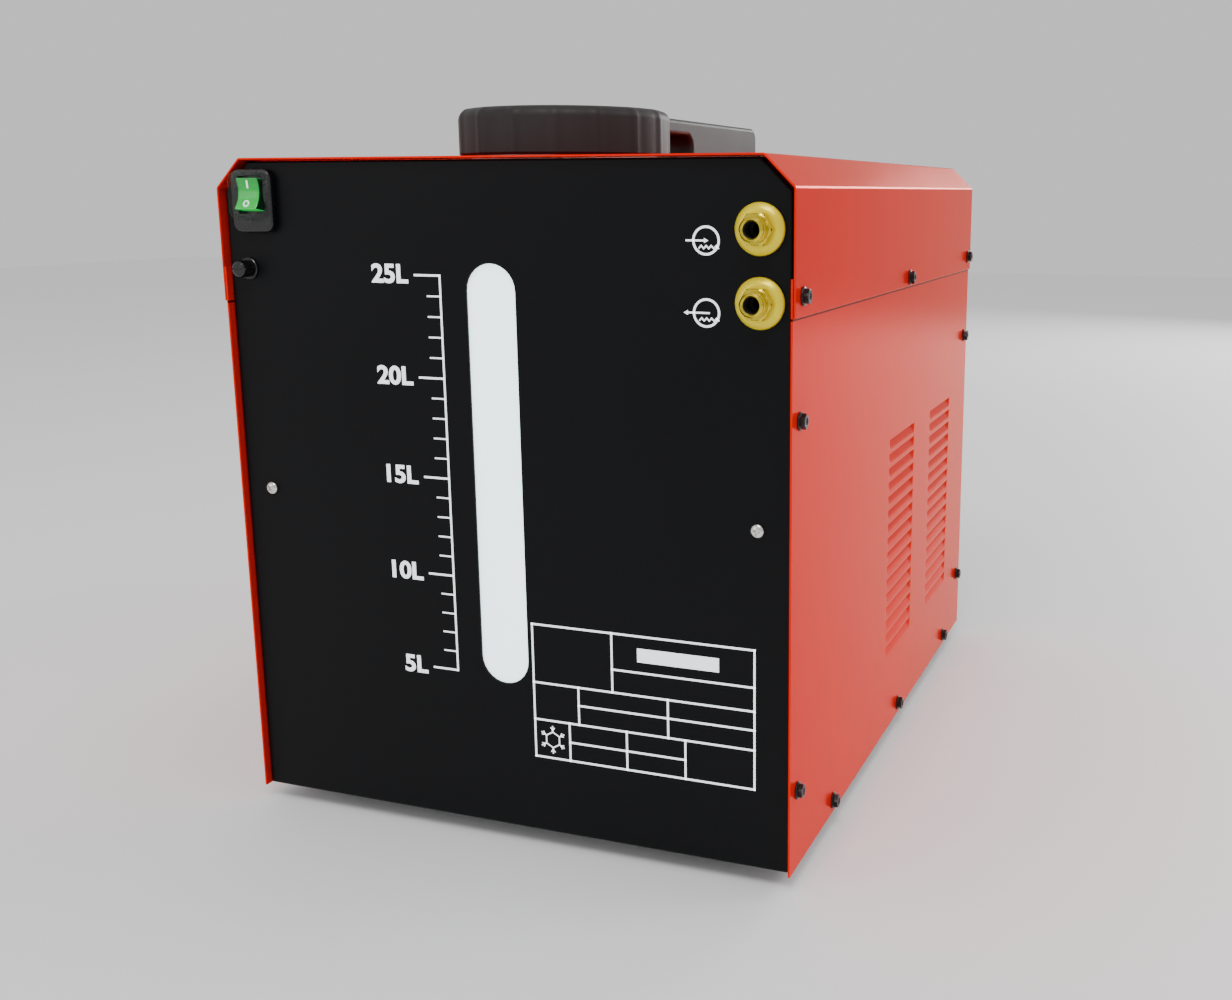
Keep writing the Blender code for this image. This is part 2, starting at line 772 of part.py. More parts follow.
def carry_handle(finish):
    """A low moulded handle: short front leg, finger gap, long rear leg."""
    front = HANDLE_FRONT
    rear = front + HANDLE_LENGTH
    low = CASE_H + FIT
    top = low + HANDLE_H
    gap_front = front + GRIP_START
    gap_rear = gap_front + GRIP_SPAN
    under = top - HANDLE_GRIP
    corner = HANDLE_ROUND
    outline = [(front, low)]
    outline += arc((front + corner, top - corner), corner, 180, 90, 5)
    outline += arc((rear - corner, top - corner), corner, 90, 0, 5)
    outline += [(rear, low), (gap_rear, low)]
    outline += arc((gap_rear - corner, under - corner), corner, 0, 90, 5)
    outline += arc((gap_front + corner, under - corner), corner, 90, 180, 5)
    outline += [(gap_front, low)]
    made = piece("carry_handle", prism(outline, "X", -HANDLE_W / 2, HANDLE_W / 2), finish, sharp=30)
    return settle(made)


# ---- Switch ----

def switch_body(finish):
    half_w = SWITCH_BODY_W / 2
    half_h = SWITCH_BODY_H / 2
    front = RECESS - FIT - BEZEL_T
    low = (SWITCH_X - BEZEL_W / 2, SWITCH_Z - BEZEL_H / 2)
    high = (SWITCH_X + BEZEL_W / 2, SWITCH_Z + BEZEL_H / 2)
    bezel = prism(rounded_rectangle(low, high, BEZEL_CORNER), "Y", front, RECESS - FIT)
    made = piece("switch_body", bezel, finish, sharp=30)
    join(made, block((SWITCH_X - half_w, RECESS - FIT - 0.001, SWITCH_Z - half_h),
                     (SWITCH_X + half_w, RECESS + SWITCH_BODY_D, SWITCH_Z + half_h)))
    pocket_w = ROCKER_W / 2 + POCKET_GAP
    pocket_h = ROCKER_H / 2 + POCKET_GAP
    cut(made, block((SWITCH_X - pocket_w, front - 0.001, ROCKER_Z - pocket_h),
                    (SWITCH_X + pocket_w, RECESS + 0.014, ROCKER_Z + pocket_h)))
    return settle(made)


def rocker_pivot():
    return (SWITCH_X, RECESS - BEZEL_T + 0.004, ROCKER_Z)


def switch_rocker(finish):
    """Green rocker, a shallow V in side view, resting with its upper half pressed in."""
    x, y, z = rocker_pivot()
    half = ROCKER_H / 2
    dip = 0.0062
    edge = 0.0092
    outline = [(y + 0.006, z - 0.004), (y, z - half), (y - edge, z - half), (y - dip, z),
               (y - edge, z + half), (y, z + half), (y + 0.006, z + 0.004)]
    made = piece("switch_rocker", prism(outline, "X", x - ROCKER_W / 2, x + ROCKER_W / 2), finish, (x, y, z))
    settle(made)
    made.rotation_euler = (-radians(ROCKER_TILT), 0, 0)
    return made


def switch_boot(finish):
    """Clear boot over the rocker, open towards the bezel."""
    rear = RECESS - FIT - BEZEL_T - FIT
    front = rear - BOOT_D
    low = (SWITCH_X - BOOT_W / 2, ROCKER_Z - BOOT_H / 2)
    high = (SWITCH_X + BOOT_W / 2, ROCKER_Z + BOOT_H / 2)
    wall = BOOT_WALL
    shell = prism(rounded_rectangle(low, high, BOOT_CORNER), "Y", front, rear)
    made = piece("switch_boot", shell, finish, sharp=30)
    inner_low = (low[0] + wall, low[1] + wall)
    inner_high = (high[0] - wall, high[1] - wall)
    inside = rounded_rectangle(inner_low, inner_high, BOOT_CORNER - wall)
    cut(made, prism(inside, "Y", front + wall, rear + 0.001))
    return settle(made)


# ---- Fuse ----

def fuse_parts(holder_finish, glass_finish):
    flange_r = FUSE_BODY_R + 0.0012
    front = RECESS - FIT
    deep = RECESS + FUSE_BODY_D
    centre = (FUSE_X, 0, FUSE_Z)
    body = [(FUSE_BORE, front - 0.0015), (flange_r, front - 0.0015), (flange_r, front), (FUSE_BODY_R, front),
            (FUSE_BODY_R, deep), (0, deep), (0, deep - 0.003), (FUSE_BORE, deep - 0.003)]
    settle(piece("fuse_holder", turned(body, "Y", centre, 16), holder_finish, centre, 30))
    rim = front - 0.0015 - FIT
    tip = rim - FUSE_CAP_PROUD
    stem_end = RECESS + 0.012
    stem = FUSE_BORE - 0.0005
    cap = [(0, stem_end), (stem, stem_end), (stem, rim), (FUSE_CAP_R, rim), (FUSE_CAP_R, tip + 0.001),
           (FUSE_CAP_R - 0.001, tip), (0, tip)]
    knob = piece("fuse_cap", turned(cap, "Y", centre, 16), holder_finish, centre, 30)
    half = FUSE_SLOT / 2
    settle(cut(knob, block((FUSE_X - FUSE_CAP_R - 0.001, tip - 0.001, FUSE_Z - half),
                           (FUSE_X + FUSE_CAP_R + 0.001, tip + FUSE_SLOT, FUSE_Z + half))))
    start = stem_end + FIT
    tube_profile = [(0, start), (FUSE_R, start), (FUSE_R, start + FUSE_LENGTH), (0, start + FUSE_LENGTH)]
    settle(piece("glass_fuse", turned(tube_profile, "Y", centre, 12), glass_finish, centre, 30))


# ---- Couplings ----

def coupling(word, z, brass, yellow):
    """A hose coupling clamped through the front panel between its hex and a lock nut."""
    x = COUPLING_X
    tip = -COUPLING_PROUD
    washer_back = RECESS - FIT
    washer_front = washer_back - COUPLING_WASHER_DISH - COUPLING_WASHER_T
    hex_back = washer_front - FIT
    hex_front = hex_back - COUPLING_HEX_T
    outer = [(0, tip), (COUPLING_BARREL - 0.0008, tip), (COUPLING_BARREL, tip + 0.0008),
             (COUPLING_BARREL, hex_front + 0.001), (COUPLING_THREAD, hex_front + 0.001),
             (COUPLING_THREAD, COUPLING_THREAD_END), (SPIGOT_R, COUPLING_THREAD_END),
             (SPIGOT_R, COUPLING_TAIL_END), (0, COUPLING_TAIL_END)]
    made = piece(f"{word}_coupling", turned(outer, "Y", (x, 0, z), 16), brass, (x, 0, z), 30)
    join(made, prism(hexagon((x, z), COUPLING_HEX), "Y", hex_front, hex_back))
    cut(made, prism(circle((x, z), COUPLING_SOCKET, 16), "Y", tip - 0.001, tip + COUPLING_SOCKET_DEPTH))
    cut(made, prism(circle((x, z), COUPLING_BORE, 12), "Y", tip, COUPLING_TAIL_END + 0.001))
    settle(made)
    bore = COUPLING_THREAD + FIT
    rim = COUPLING_WASHER_R
    land = COUPLING_HEX / sqrt(3) + 0.0005
    washer = [(bore, washer_front), (land, washer_front), (rim, washer_back - COUPLING_WASHER_T),
              (rim, washer_back), (rim - 0.0015, washer_back), (land, washer_front + COUPLING_WASHER_T),
              (bore, washer_front + COUPLING_WASHER_T)]
    settle(piece(f"{word}_washer", turned(washer, "Y", (x, 0, z), 24), yellow, (x, 0, z), 40))
    start = PANEL_BACK + FIT
    end = start + LOCKNUT_T
    nut = piece(f"{word}_locknut", prism(hexagon((x, z), LOCKNUT_HEX), "Y", start, end), brass, (x, start, z))
    settle(cut(nut, prism(circle((x, z), bore, 16), "Y", start - 0.001, end + 0.001)))


# ---- Pump ----

def pump_motor(finish):
    """Motor housing with open-ended bells and a foot."""
    length = MOTOR_RIGHT - MOTOR_LEFT
    bell = SHAFT_R + SHAFT_CLEARANCE
    profile = [(0.016, 0), (MOTOR_R, 0), (MOTOR_R, length), (bell, length), (bell, length - MOTOR_END),
               (MOTOR_BORE, length - MOTOR_END), (MOTOR_BORE, MOTOR_END), (0.016, MOTOR_END)]
    made = piece("pump_motor", turned(profile, "X", (MOTOR_LEFT, PUMP_Y, PUMP_Z), 24), finish, sharp=30)
    foot = TRAY_FLOOR + FIT
    solids = []
    for x in (MOTOR_LEFT + 0.020, MOTOR_RIGHT - 0.040):
        outline = [(PUMP_Y - 0.045, foot), (PUMP_Y + 0.045, foot), (PUMP_Y + 0.045, foot + 0.004),
                   (PUMP_Y + 0.030, PUMP_Z - 0.036), (PUMP_Y - 0.030, PUMP_Z - 0.036),
                   (PUMP_Y - 0.045, foot + 0.004)]
        solids.append(prism(outline, "X", x, x + 0.020))
    return settle(join(made, *solids))


def pump_rotor(finish):
    left = MOTOR_LEFT + 0.001
    inner_left = MOTOR_LEFT + MOTOR_END + 0.006
    inner_right = MOTOR_RIGHT - MOTOR_END - 0.006
    chamber_left = HEAD_X[0] + HEAD_WALL + 0.0015
    chamber_right = HEAD_X[1] - HEAD_WALL - 0.0015
    profile = [(0, left), (SHAFT_R, left), (SHAFT_R, inner_left), (ROTOR_R, inner_left),
               (ROTOR_R, inner_right), (SHAFT_R, inner_right), (SHAFT_R, chamber_left),
               (IMPELLER_R, chamber_left), (IMPELLER_R, chamber_right), (0, chamber_right)]
    centre = (0, PUMP_Y, PUMP_Z)
    return settle(piece("pump_rotor", turned(profile, "X", centre, 20), finish, centre, 30))


def pump_head(finish):
    left, right = HEAD_X
    bell = SHAFT_R + SHAFT_CLEARANCE
    profile = [(bell, left), (HEAD_R, left), (HEAD_R, right), (0, right), (0, right - HEAD_WALL),
               (HEAD_CHAMBER, right - HEAD_WALL), (HEAD_CHAMBER, left + HEAD_WALL), (bell, left + HEAD_WALL)]
    made = piece("pump_head", turned(profile, "X", (0, PUMP_Y, PUMP_Z), 24), finish, sharp=30)
    x = SUCTION_X
    reach = HEAD_R + PORT_LENGTH
    join(made, prism(circle((x, PUMP_Z), SPIGOT_R, 12), "Y", PUMP_Y - reach, PUMP_Y - HEAD_CHAMBER - 0.002),
         prism(circle((x, PUMP_Y), SPIGOT_R, 12), "Z", PUMP_Z + HEAD_CHAMBER + 0.002, PUMP_Z + reach))
    start = HEAD_CHAMBER - 0.002
    end = reach + 0.001
    cut(made, prism(circle((x, PUMP_Z), SPIGOT_BORE, 10), "Y", PUMP_Y - end, PUMP_Y - start),
        prism(circle((x, PUMP_Y), SPIGOT_BORE, 10), "Z", PUMP_Z + start, PUMP_Z + end))
    return settle(made)


def run_capacitor(finish):
    low = TRAY_FLOOR + FIT
    radius = CAPACITOR_R
    profile = [(0, low), (radius, low), (radius, low + CAPACITOR_L), (0, low + CAPACITOR_L)]
    centre = (-0.130, PUMP_Y + 0.015, 0)
    return settle(piece("run_capacitor", turned(profile, "Z", centre, 20), finish, centre, 30))


def terminal_block(finish):
    width, depth, height = TERMINAL
    low = Vector((-0.130 - width / 2, PUMP_Y - 0.060, TRAY_FLOOR + FIT))
    made = piece("terminal_block", block(low, low + Vector((width, depth, height))), finish)
    slots = []
    for pole in range(4):
        x = low.x + 0.008 + 0.0113 * pole
        slots.append(block((x - 0.003, low.y - 0.001, low.z + 0.015),
                           (x + 0.003, low.y + depth + 0.001, low.z + height + 0.001)))
    return settle(cut(made, *slots))


# ---- Cooling ----

def radiator(finish):
    """Finned core between two header tanks, with one hose spigot on each."""
    half = CORE_SIDE / 2
    low = CORE_Z - half
    high = CORE_Z + half
    fins = block((0.012 - half, CORE_Y + 0.005, low), (half - 0.012, CORE_Y + CORE_D - 0.005, high))
    made = piece("radiator", fins, finish)
    solids = []
    for side in (-1, 1):
        inner, outer = sorted((side * (half - 0.030), side * half))
        solids.append(block((inner, CORE_Y, low + 0.002), (outer, CORE_Y + CORE_D - FIT, high - 0.002)))
    join(made, *solids)
    inlet = (CORE_SPIGOT_X, CORE_Y, high - CORE_SPIGOT_DROP)
    outlet = (-CORE_SPIGOT_X, CORE_Y, low + CORE_SPIGOT_DROP)
    join(made, *[spigot(root, -1, CORE_SPIGOT_LENGTH, SPIGOT_R) for root in (inlet, outlet)])
    cut(made, *[spigot(root, -1, CORE_SPIGOT_LENGTH + 0.001, SPIGOT_BORE) for root in (inlet, outlet)])
    return settle(made)


def fan_shroud(finish):
    """Square duct with a round bore, carrying the fan's fixed hub and spindle on four struts."""
    half = SHROUD_SIDE / 2
    rear = REAR_INSIDE - FIT
    low = (-half, FAN_Z - half)
    high = (half, FAN_Z + half)
    duct = prism(rounded_rectangle(low, high, SHROUD_CORNER), "Y", SHROUD_Y, rear)
    made = piece("fan_shroud", duct, finish, sharp=30)
    cut(made, prism(circle((0, FAN_Z), FAN_BORE, 40), "Y", SHROUD_Y - 0.001, rear + 0.001))
    strut_y = (SHROUD_Y + 0.002, SHROUD_Y + 0.010)
    reach = FAN_BORE + 0.002
    bar_across = block((-reach, strut_y[0], FAN_Z - STRUT / 2), (reach, strut_y[1], FAN_Z + STRUT / 2))
    bar_up = block((-STRUT / 2, strut_y[0] + 0.0005, FAN_Z - reach),
                   (STRUT / 2, strut_y[1] - 0.0005, FAN_Z + reach))
    join(made, bar_across)
    join(made, bar_up)
    hub_end = SHROUD_Y + 0.001 + HUB_DEPTH
    hub = [(0, SHROUD_Y + 0.001), (HUB_R, SHROUD_Y + 0.001), (HUB_R, hub_end), (SPINDLE_R, hub_end),
           (SPINDLE_R, hub_end + ROTOR_HUB_D), (0, hub_end + ROTOR_HUB_D)]
    join(made, turned(hub, "Y", (0, 0, FAN_Z), 20))
    return settle(made)


def fan_rotor(finish):
    start = SHROUD_Y + 0.001 + HUB_DEPTH + 0.002
    end = start + ROTOR_HUB_D
    middle = (start + end) / 2
    bore = SPINDLE_R + SHAFT_CLEARANCE
    hub = [(bore, start), (ROTOR_HUB_R, start), (ROTOR_HUB_R, end), (bore, end)]
    centre = (0, middle, FAN_Z)
    made = piece("fan_rotor", turned(hub, "Y", (0, 0, FAN_Z), 24), finish, centre, 30)
    blades = []
    inner = ROTOR_HUB_R - 0.003
    for number in range(BLADE_COUNT):
        blade = block((inner, -BLADE_T / 2, -BLADE_CHORD / 2), (BLADE_TIP, BLADE_T / 2, BLADE_CHORD / 2))
        pitch = Matrix.Rotation(radians(90 - BLADE_PITCH), 3, "X")
        turn = Matrix.Rotation(WHOLE_TURN * number / BLADE_COUNT, 3, "Y")
        bmesh.ops.rotate(blade, verts=blade.verts, cent=(0, 0, 0), matrix=turn @ pitch)
        bmesh.ops.translate(blade, verts=blade.verts, vec=centre)
        blades.append(blade)
    return settle(join(made, *blades))


def wire_ring(radius, y):
    wire = GUARD_WIRE
    return turned(rectangle((radius - wire, y - wire), (radius + wire, y + wire)), "Y", (0, 0, FAN_Z), 24)


def fan_guard(finish):
    """Concentric rings held by four radial wires, on the outside of the rear panel."""
    wire = GUARD_WIRE
    y = REAR_FACE + FIT + wire
    bars = []
    for quarter in range(4):
        bar = block((0.004, y - wire * 0.7, -wire), (GUARD_R, y + wire * 0.7, wire))
        turn = Matrix.Rotation(pi / 4 + pi / 2 * quarter, 3, "Y")
        bmesh.ops.rotate(bar, verts=bar.verts, cent=(0, 0, 0), matrix=turn)
        bmesh.ops.translate(bar, verts=bar.verts, vec=(0, 0, FAN_Z))
        bars.append(bar)
    hub = [(0, y - wire), (0.018, y - wire), (0.018, y + wire), (0, y + wire)]
    made = piece("fan_guard", turned(hub, "Y", (0, 0, FAN_Z), 20), finish, sharp=30)
    join(made, *bars)
    step = (GUARD_R - 0.018) / GUARD_RINGS
    join(made, *[wire_ring(0.018 + step * number - wire, y) for number in range(1, GUARD_RINGS + 1)])
    return settle(made)


def cord_gland(finish):
    end = CASE_D + GLAND_PROUD
    seat = REAR_FACE + FIT
    nose = 0.0085
    outer = [(0, REAR_INSIDE - 0.012), (GLAND_THREAD, REAR_INSIDE - 0.012), (GLAND_THREAD, seat + 0.004),
             (0.0115, seat + 0.004), (0.0115, end - 0.004), (nose, end), (0, end)]
    made = piece("cord_gland", turned(outer, "Y", (GLAND_X, 0, GLAND_Z), 24), finish, sharp=30)
    join(made, prism(hexagon((GLAND_X, GLAND_Z), GLAND_HEX), "Y", seat, seat + 0.006))
    cut(made, prism(circle((GLAND_X, GLAND_Z), GLAND_BORE, 16), "Y", REAR_INSIDE - 0.013, end + 0.001))
    return settle(made)


# ---- Hoses ----

def hoses(finish):
    (_, inlet_z), (_, outlet_z) = COUPLING_ZS
    tail = COUPLING_TAIL_END - 0.012
    x = COUPLING_X
    head_top = PUMP_Z + HEAD_R + HOSE_END_GAP
    core_end = CORE_Y - HOSE_END_GAP
    core_clear = CORE_Y - CORE_SPIGOT_LENGTH - HOSE_END_GAP
    core_high = CORE_Z + CORE_SIDE / 2 - CORE_SPIGOT_DROP
    core_low = CORE_Z - CORE_SIDE / 2 + CORE_SPIGOT_DROP
    left = -CORE_SPIGOT_X
    right = CORE_SPIGOT_X
    tank_end = TANK_REAR + HOSE_END_GAP
    tank_clear = TANK_REAR + SPIGOT_LENGTH + HOSE_END_GAP
    routes = {
        "hose_suction": [
            (SUCTION_X, tank_end, SUCTION_Z), (SUCTION_X, PUMP_Y - HEAD_R - HOSE_END_GAP, PUMP_Z)],
        "hose_delivery": [
            (SUCTION_X, PUMP_Y, head_top), (SUCTION_X, PUMP_Y, head_top + 0.030), (0.110, 0.360, 0.205),
            (0.148, 0.345, 0.255), (0.167, 0.320, 0.305), (x, 0.270, outlet_z - 0.002),
            (x, 0.200, outlet_z), (x, tail, outlet_z)],
        "hose_return": [
            (x, tail, inlet_z), (x, 0.215, inlet_z), (0.164, 0.288, inlet_z - 0.003),
            (0.135, 0.333, 0.362), (0.104, 0.352, core_high + 0.018),
            (right, core_clear, core_high), (right, core_end, core_high)],
        "hose_tank": [
            (left, core_end, core_low), (left, core_clear, core_low),
            (left - 0.006, 0.346, core_low + 0.030), (left - 0.016, 0.342, 0.230),
            (RETURN_X, 0.344, RETURN_Z - 0.050), (RETURN_X, 0.332, RETURN_Z - 0.012),
            (RETURN_X, tank_clear, RETURN_Z), (RETURN_X, tank_end, RETURN_Z)],
    }
    for name, points in routes.items():
        settle(piece(name, tube(smooth_route(points, 2), HOSE_R, HOSE_BORE), finish, sharp=60))


# ---- The whole object ----

def clear_scene():
    for old in list(bpy.data.objects):
        bpy.data.objects.remove(old, do_unlink=True)


def main():
    clear_scene()
    red = material("red_paint", (0.86, 0.10, 0.045), 0.30)
    black = material("black_paint", (0.012, 0.012, 0.014), 0.42)
    steel = material("zinc_steel", (0.55, 0.56, 0.57), 0.35, 1.0)
    bright = material("bright_steel", (0.78, 0.78, 0.76), 0.22, 1.0)
    dark_screw = material("black_screw", (0.02, 0.02, 0.022), 0.30, 0.6)
    moulded = material("black_moulding", (0.045, 0.042, 0.042), 0.50)
    rubber = material("black_rubber", (0.02, 0.02, 0.02), 0.80)
    white = material("white_tank", (0.90, 0.94, 0.94), 0.45)
    green = material("green_lens", (0.02, 0.62, 0.16), 0.20)
    clear = material("clear_boot", (0.85, 0.90, 0.88), 0.08, 0.0, 0.35)
    brass = material("brass", (0.80, 0.66, 0.22), 0.25, 1.0)
    yellow = material("yellow_zinc", (0.85, 0.76, 0.12), 0.30, 0.8)
    cast = material("cast_metal", (0.42, 0.42, 0.44), 0.55, 0.7)
    blue = material("motor_paint", (0.10, 0.12, 0.15), 0.50)
    glass = material("fuse_glass", (0.85, 0.88, 0.88), 0.10, 0.0, 0.4)
    core = material("core_aluminium", (0.62, 0.63, 0.64), 0.45, 1.0)

    base_tray(steel)
    front_panel(black)
    rear_panel(black)
    upper_cover(red)
    side_panel("side_panel_left", -1, red)
    side_panel("side_panel_right", 1, red)
    feet(rubber)
    side_screws(dark_screw)
    front_screws(bright)
    tank_shelf(steel)
    tank_brackets(steel)
    coolant_tank(white)
    tank_cap(moulded)
    cap_gasket(rubber)
    carry_handle(moulded)
    switch_body(moulded)
    switch_rocker(green)
    switch_boot(clear)
    fuse_parts(moulded, glass)
    for word, z in COUPLING_ZS:
        coupling(word, z, brass, yellow)
    pump_motor(blue)
    pump_rotor(bright)
    pump_head(cast)
    run_capacitor(moulded)
    terminal_block(white)
    radiator(core)
    fan_shroud(moulded)
    fan_rotor(moulded)
    fan_guard(dark_screw)
    cord_gland(moulded)
    hoses(rubber)


main()
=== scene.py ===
"""The looks of a TIG torch water cooler: bent sheet, louvres, printed scale, fittings and finishes.

Metres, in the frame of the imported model: +Z up, front panel towards -Y. Places come from the
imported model's own nodes; the sizes that a maker would change are the properties below.
"""

import json
from math import atan2, cos, hypot, pi, radians, sin, sqrt, tan

import bmesh
import bpy
from mathutils import Matrix, Vector


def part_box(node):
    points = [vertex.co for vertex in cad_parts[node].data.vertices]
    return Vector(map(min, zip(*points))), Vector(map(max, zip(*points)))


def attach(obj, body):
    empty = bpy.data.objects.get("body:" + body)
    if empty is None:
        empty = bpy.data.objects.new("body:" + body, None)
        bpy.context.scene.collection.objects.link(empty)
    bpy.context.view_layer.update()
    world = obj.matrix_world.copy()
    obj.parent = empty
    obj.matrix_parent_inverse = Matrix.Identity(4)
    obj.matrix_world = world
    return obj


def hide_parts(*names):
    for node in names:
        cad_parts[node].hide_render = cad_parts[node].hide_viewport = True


bl_info = {
    "name": "Torch Water Cooler",
    "version": (1, 0, 0),
    "blender": (4, 5, 0),
    "location": "View3D > Sidebar > Cooler",
    "description": "Builds the visible pieces and finishes of a TIG torch water cooler",
    "category": "Add Mesh",
}

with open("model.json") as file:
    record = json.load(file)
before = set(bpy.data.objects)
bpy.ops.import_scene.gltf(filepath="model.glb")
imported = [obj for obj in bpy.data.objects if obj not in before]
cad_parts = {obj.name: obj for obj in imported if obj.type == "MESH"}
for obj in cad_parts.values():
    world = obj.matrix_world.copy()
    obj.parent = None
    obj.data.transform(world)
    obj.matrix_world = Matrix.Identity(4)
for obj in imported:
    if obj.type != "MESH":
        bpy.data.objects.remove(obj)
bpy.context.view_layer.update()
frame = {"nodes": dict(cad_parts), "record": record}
MAIN_BODY = "cooler"


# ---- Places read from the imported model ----

def middle(node):
    low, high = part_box(node)
    return (low + high) / 2


COVER_LOW, COVER_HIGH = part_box("upper_cover")
SIDE_LOW, SIDE_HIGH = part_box("side_panel_right")
FACE_LOW, FACE_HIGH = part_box("front_panel")
REAR_LOW, REAR_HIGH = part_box("rear_panel")
CAP_LOW, CAP_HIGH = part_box("tank_cap")
GRIP_LOW, GRIP_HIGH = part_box("carry_handle")
GUARD_LOW, GUARD_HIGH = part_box("fan_guard")
CASE_BOTTOM = SIDE_LOW.z
CASE_FRONT = COVER_LOW.y


# ---- Sizes and colours that a user would change ----

def length(name, description, default):
    """A length property in metres."""
    return bpy.props.FloatProperty(name=name, description=description, default=default,
                                   unit="LENGTH", subtype="DISTANCE", precision=4)


def colour(name, description, default):
    """A colour property, as linear RGB."""
    return bpy.props.FloatVectorProperty(name=name, description=description, default=default,
                                         size=3, min=0.0, max=1.0, subtype="COLOR")


class CaseSizes(bpy.types.PropertyGroup):
    """The bent sheet of the case."""
    sheet: length("Shell sheet", "Thickness of the red sheet", 0.0012)
    panel_sheet: length("Panel sheet", "Thickness of the black panels", 0.0015)
    shoulder: length("Shoulder", "Sloped shoulder, along and across", 0.018)
    bend: length("Shell bend", "Bend radius along the shoulders", 0.0026)
    panel_bend: length("Panel bend", "Bend radius round the black panels", 0.0018)
    louvre_rows: bpy.props.IntProperty(name="Louvre rows", description="Louvres in one column",
                                       default=16, min=1)
    louvre_pitch: length("Louvre pitch", "From one louvre to the next", 0.0105)
    louvre_first: length("First louvre", "Top of the lowest louvre above the shell's lower edge", 0.067)
    louvre_height: length("Louvre height", "From a blade's lower end to its free edge", 0.0080)
    louvre_length: length("Louvre length", "Along the side panel", 0.080)
    louvre_depth: length("Louvre depth", "How far the free edge is pressed in", 0.0032)
    red: colour("Shell red", "Paint of the shell", (0.78, 0.012, 0.003))
    black: colour("Panel black", "Paint of the front and rear panels", (0.0030, 0.0032, 0.0040))


class PrintSizes(bpy.types.PropertyGroup):
    """White print on the front panel."""
    window_width: length("Window width", "Width of the level window", 0.0330)
    window_low: length("Window low", "Lower end above the shell's lower edge", 0.0965)
    window_high: length("Window high", "Upper end above the shell's lower edge", 0.3580)
    scale_x: length("Scale line", "Scale line from the middle of the panel", -0.0343)
    scale_low: length("Lowest mark", "The 5 litre mark above the shell's lower edge", 0.1010)
    scale_step: length("Scale step", "Between marks that have a number", 0.0623)
    numeral: length("Numeral height", "Height of the litre numbers", 0.0120)
    line: length("Line width", "Width of a printed line", 0.0013)
    ink: colour("Print white", "Colour of the print", (0.86, 0.90, 0.91))


class FittingSizes(bpy.types.PropertyGroup):
    """Screws, couplings, switch, cap and handle."""
    screw_hex: length("Hex size", "Across the flats of a shell screw", 0.0080)
    screw_flange: length("Flange radius", "Flange of a shell screw", 0.0055)
    low_screw: length("Low screws", "Screws of the side's lower edge, above that edge", 0.0080)
    cap_ribs: bpy.props.IntProperty(name="Cap ribs", description="Ribs round the filler cap",
                                    default=16, min=3)
    cap_round: length("Cap edge", "Rounding of the cap's top edge", 0.0065)
    grip_round: length("Handle edge", "Rounding along the handle", 0.0030)
    brass: colour("Brass", "Coupling barrels", (0.72, 0.56, 0.045))
    yellow: colour("Yellow passivate", "Dished washers", (0.88, 0.74, 0.004))
    green: colour("Lamp green", "Lit rocker", (0.001, 0.30, 0.03))


class StageSizes(bpy.types.PropertyGroup):
    """Floor and camera."""
    floor: bpy.props.FloatProperty(name="Floor", description="Width of the floor", default=12.0,
                                   unit="LENGTH", subtype="DISTANCE")
    floor_colour: colour("Floor colour", "Pale studio floor", (0.92, 0.92, 0.92))
    lens: bpy.props.FloatProperty(name="Lens", description="Focal length in millimetres", default=38.6)
    heading: bpy.props.FloatProperty(name="Heading", description="Camera turn about Z",
                                     default=radians(19.58), subtype="ANGLE")
    tilt: bpy.props.FloatProperty(name="Tilt", description="Camera's angle below level",
                                  default=radians(11.60), subtype="ANGLE")


GROUPS = (CaseSizes, PrintSizes, FittingSizes, StageSizes)


def sizes(group):
    return getattr(bpy.context.scene, "cooler_" + group)


# ---- Node trees: sockets as values ----

class Value:
    """A node's output; arithmetic on it adds Math nodes to the same tree."""

    def __init__(self, tree, socket):
        self.tree = tree
        self.socket = socket

    def maths(self, operation, *terms):
        return self.tree.node("ShaderNodeMath", {"operation": operation}, dict(enumerate(terms)))[0]

    def __add__(self, other):
        return self.maths("ADD", self, other)

    __radd__ = __add__

    def __sub__(self, other):
        return self.maths("SUBTRACT", self, other)

    def __rsub__(self, other):
        return self.maths("SUBTRACT", other, self)

    def __mul__(self, other):
        return self.maths("MULTIPLY", self, other)

    __rmul__ = __mul__

    def __truediv__(self, other):
        return self.maths("DIVIDE", self, other)

    def __rtruediv__(self, other):
        return self.maths("DIVIDE", other, self)

    def __pow__(self, other):
        return self.maths("POWER", self, other)


class Outputs:
    """The outputs of a node, by name or number."""

    def __init__(self, tree, node):
        self.tree = tree
        self.node = node

    def __getitem__(self, key):
        return Value(self.tree, self.node.outputs[key])


class Tree:
    """A shader or geometry node tree that is filled by one method."""

    def __init__(self, nodes):
        self.nodes = nodes

    def node(self, kind, settings=None, inputs=None):
        """Add a node: its settings first, then the values or links of its sockets."""
        made = self.nodes.nodes.new(kind)
        for key, value in (settings or {}).items():
            if key == "stops":
                set_stops(made.color_ramp, value)
            else:
                setattr(made, key, value)
        for key, value in (inputs or {}).items():
            for one in value if isinstance(value, list) else [value]:
                if isinstance(one, Value):
                    self.nodes.links.new(one.socket, made.inputs[key])
                else:
                    made.inputs[key].default_value = one
        return Outputs(self, made)

    def vector(self, x=0.0, y=0.0, z=0.0):
        """A vector from three values or links."""
        return self.node("ShaderNodeCombineXYZ", None, {0: x, 1: y, 2: z})[0]


def set_stops(ramp, stops):
    """Give a colour ramp its (position, grey or RGB) stops."""
    while len(ramp.elements) > 1:
        ramp.elements.remove(ramp.elements[-1])
    for number, (place, shade) in enumerate(stops):
        element = ramp.elements[0] if number == 0 else ramp.elements.new(place)
        element.position = place
        element.color = (*shade, 1) if isinstance(shade, tuple) else (shade, shade, shade, 1)


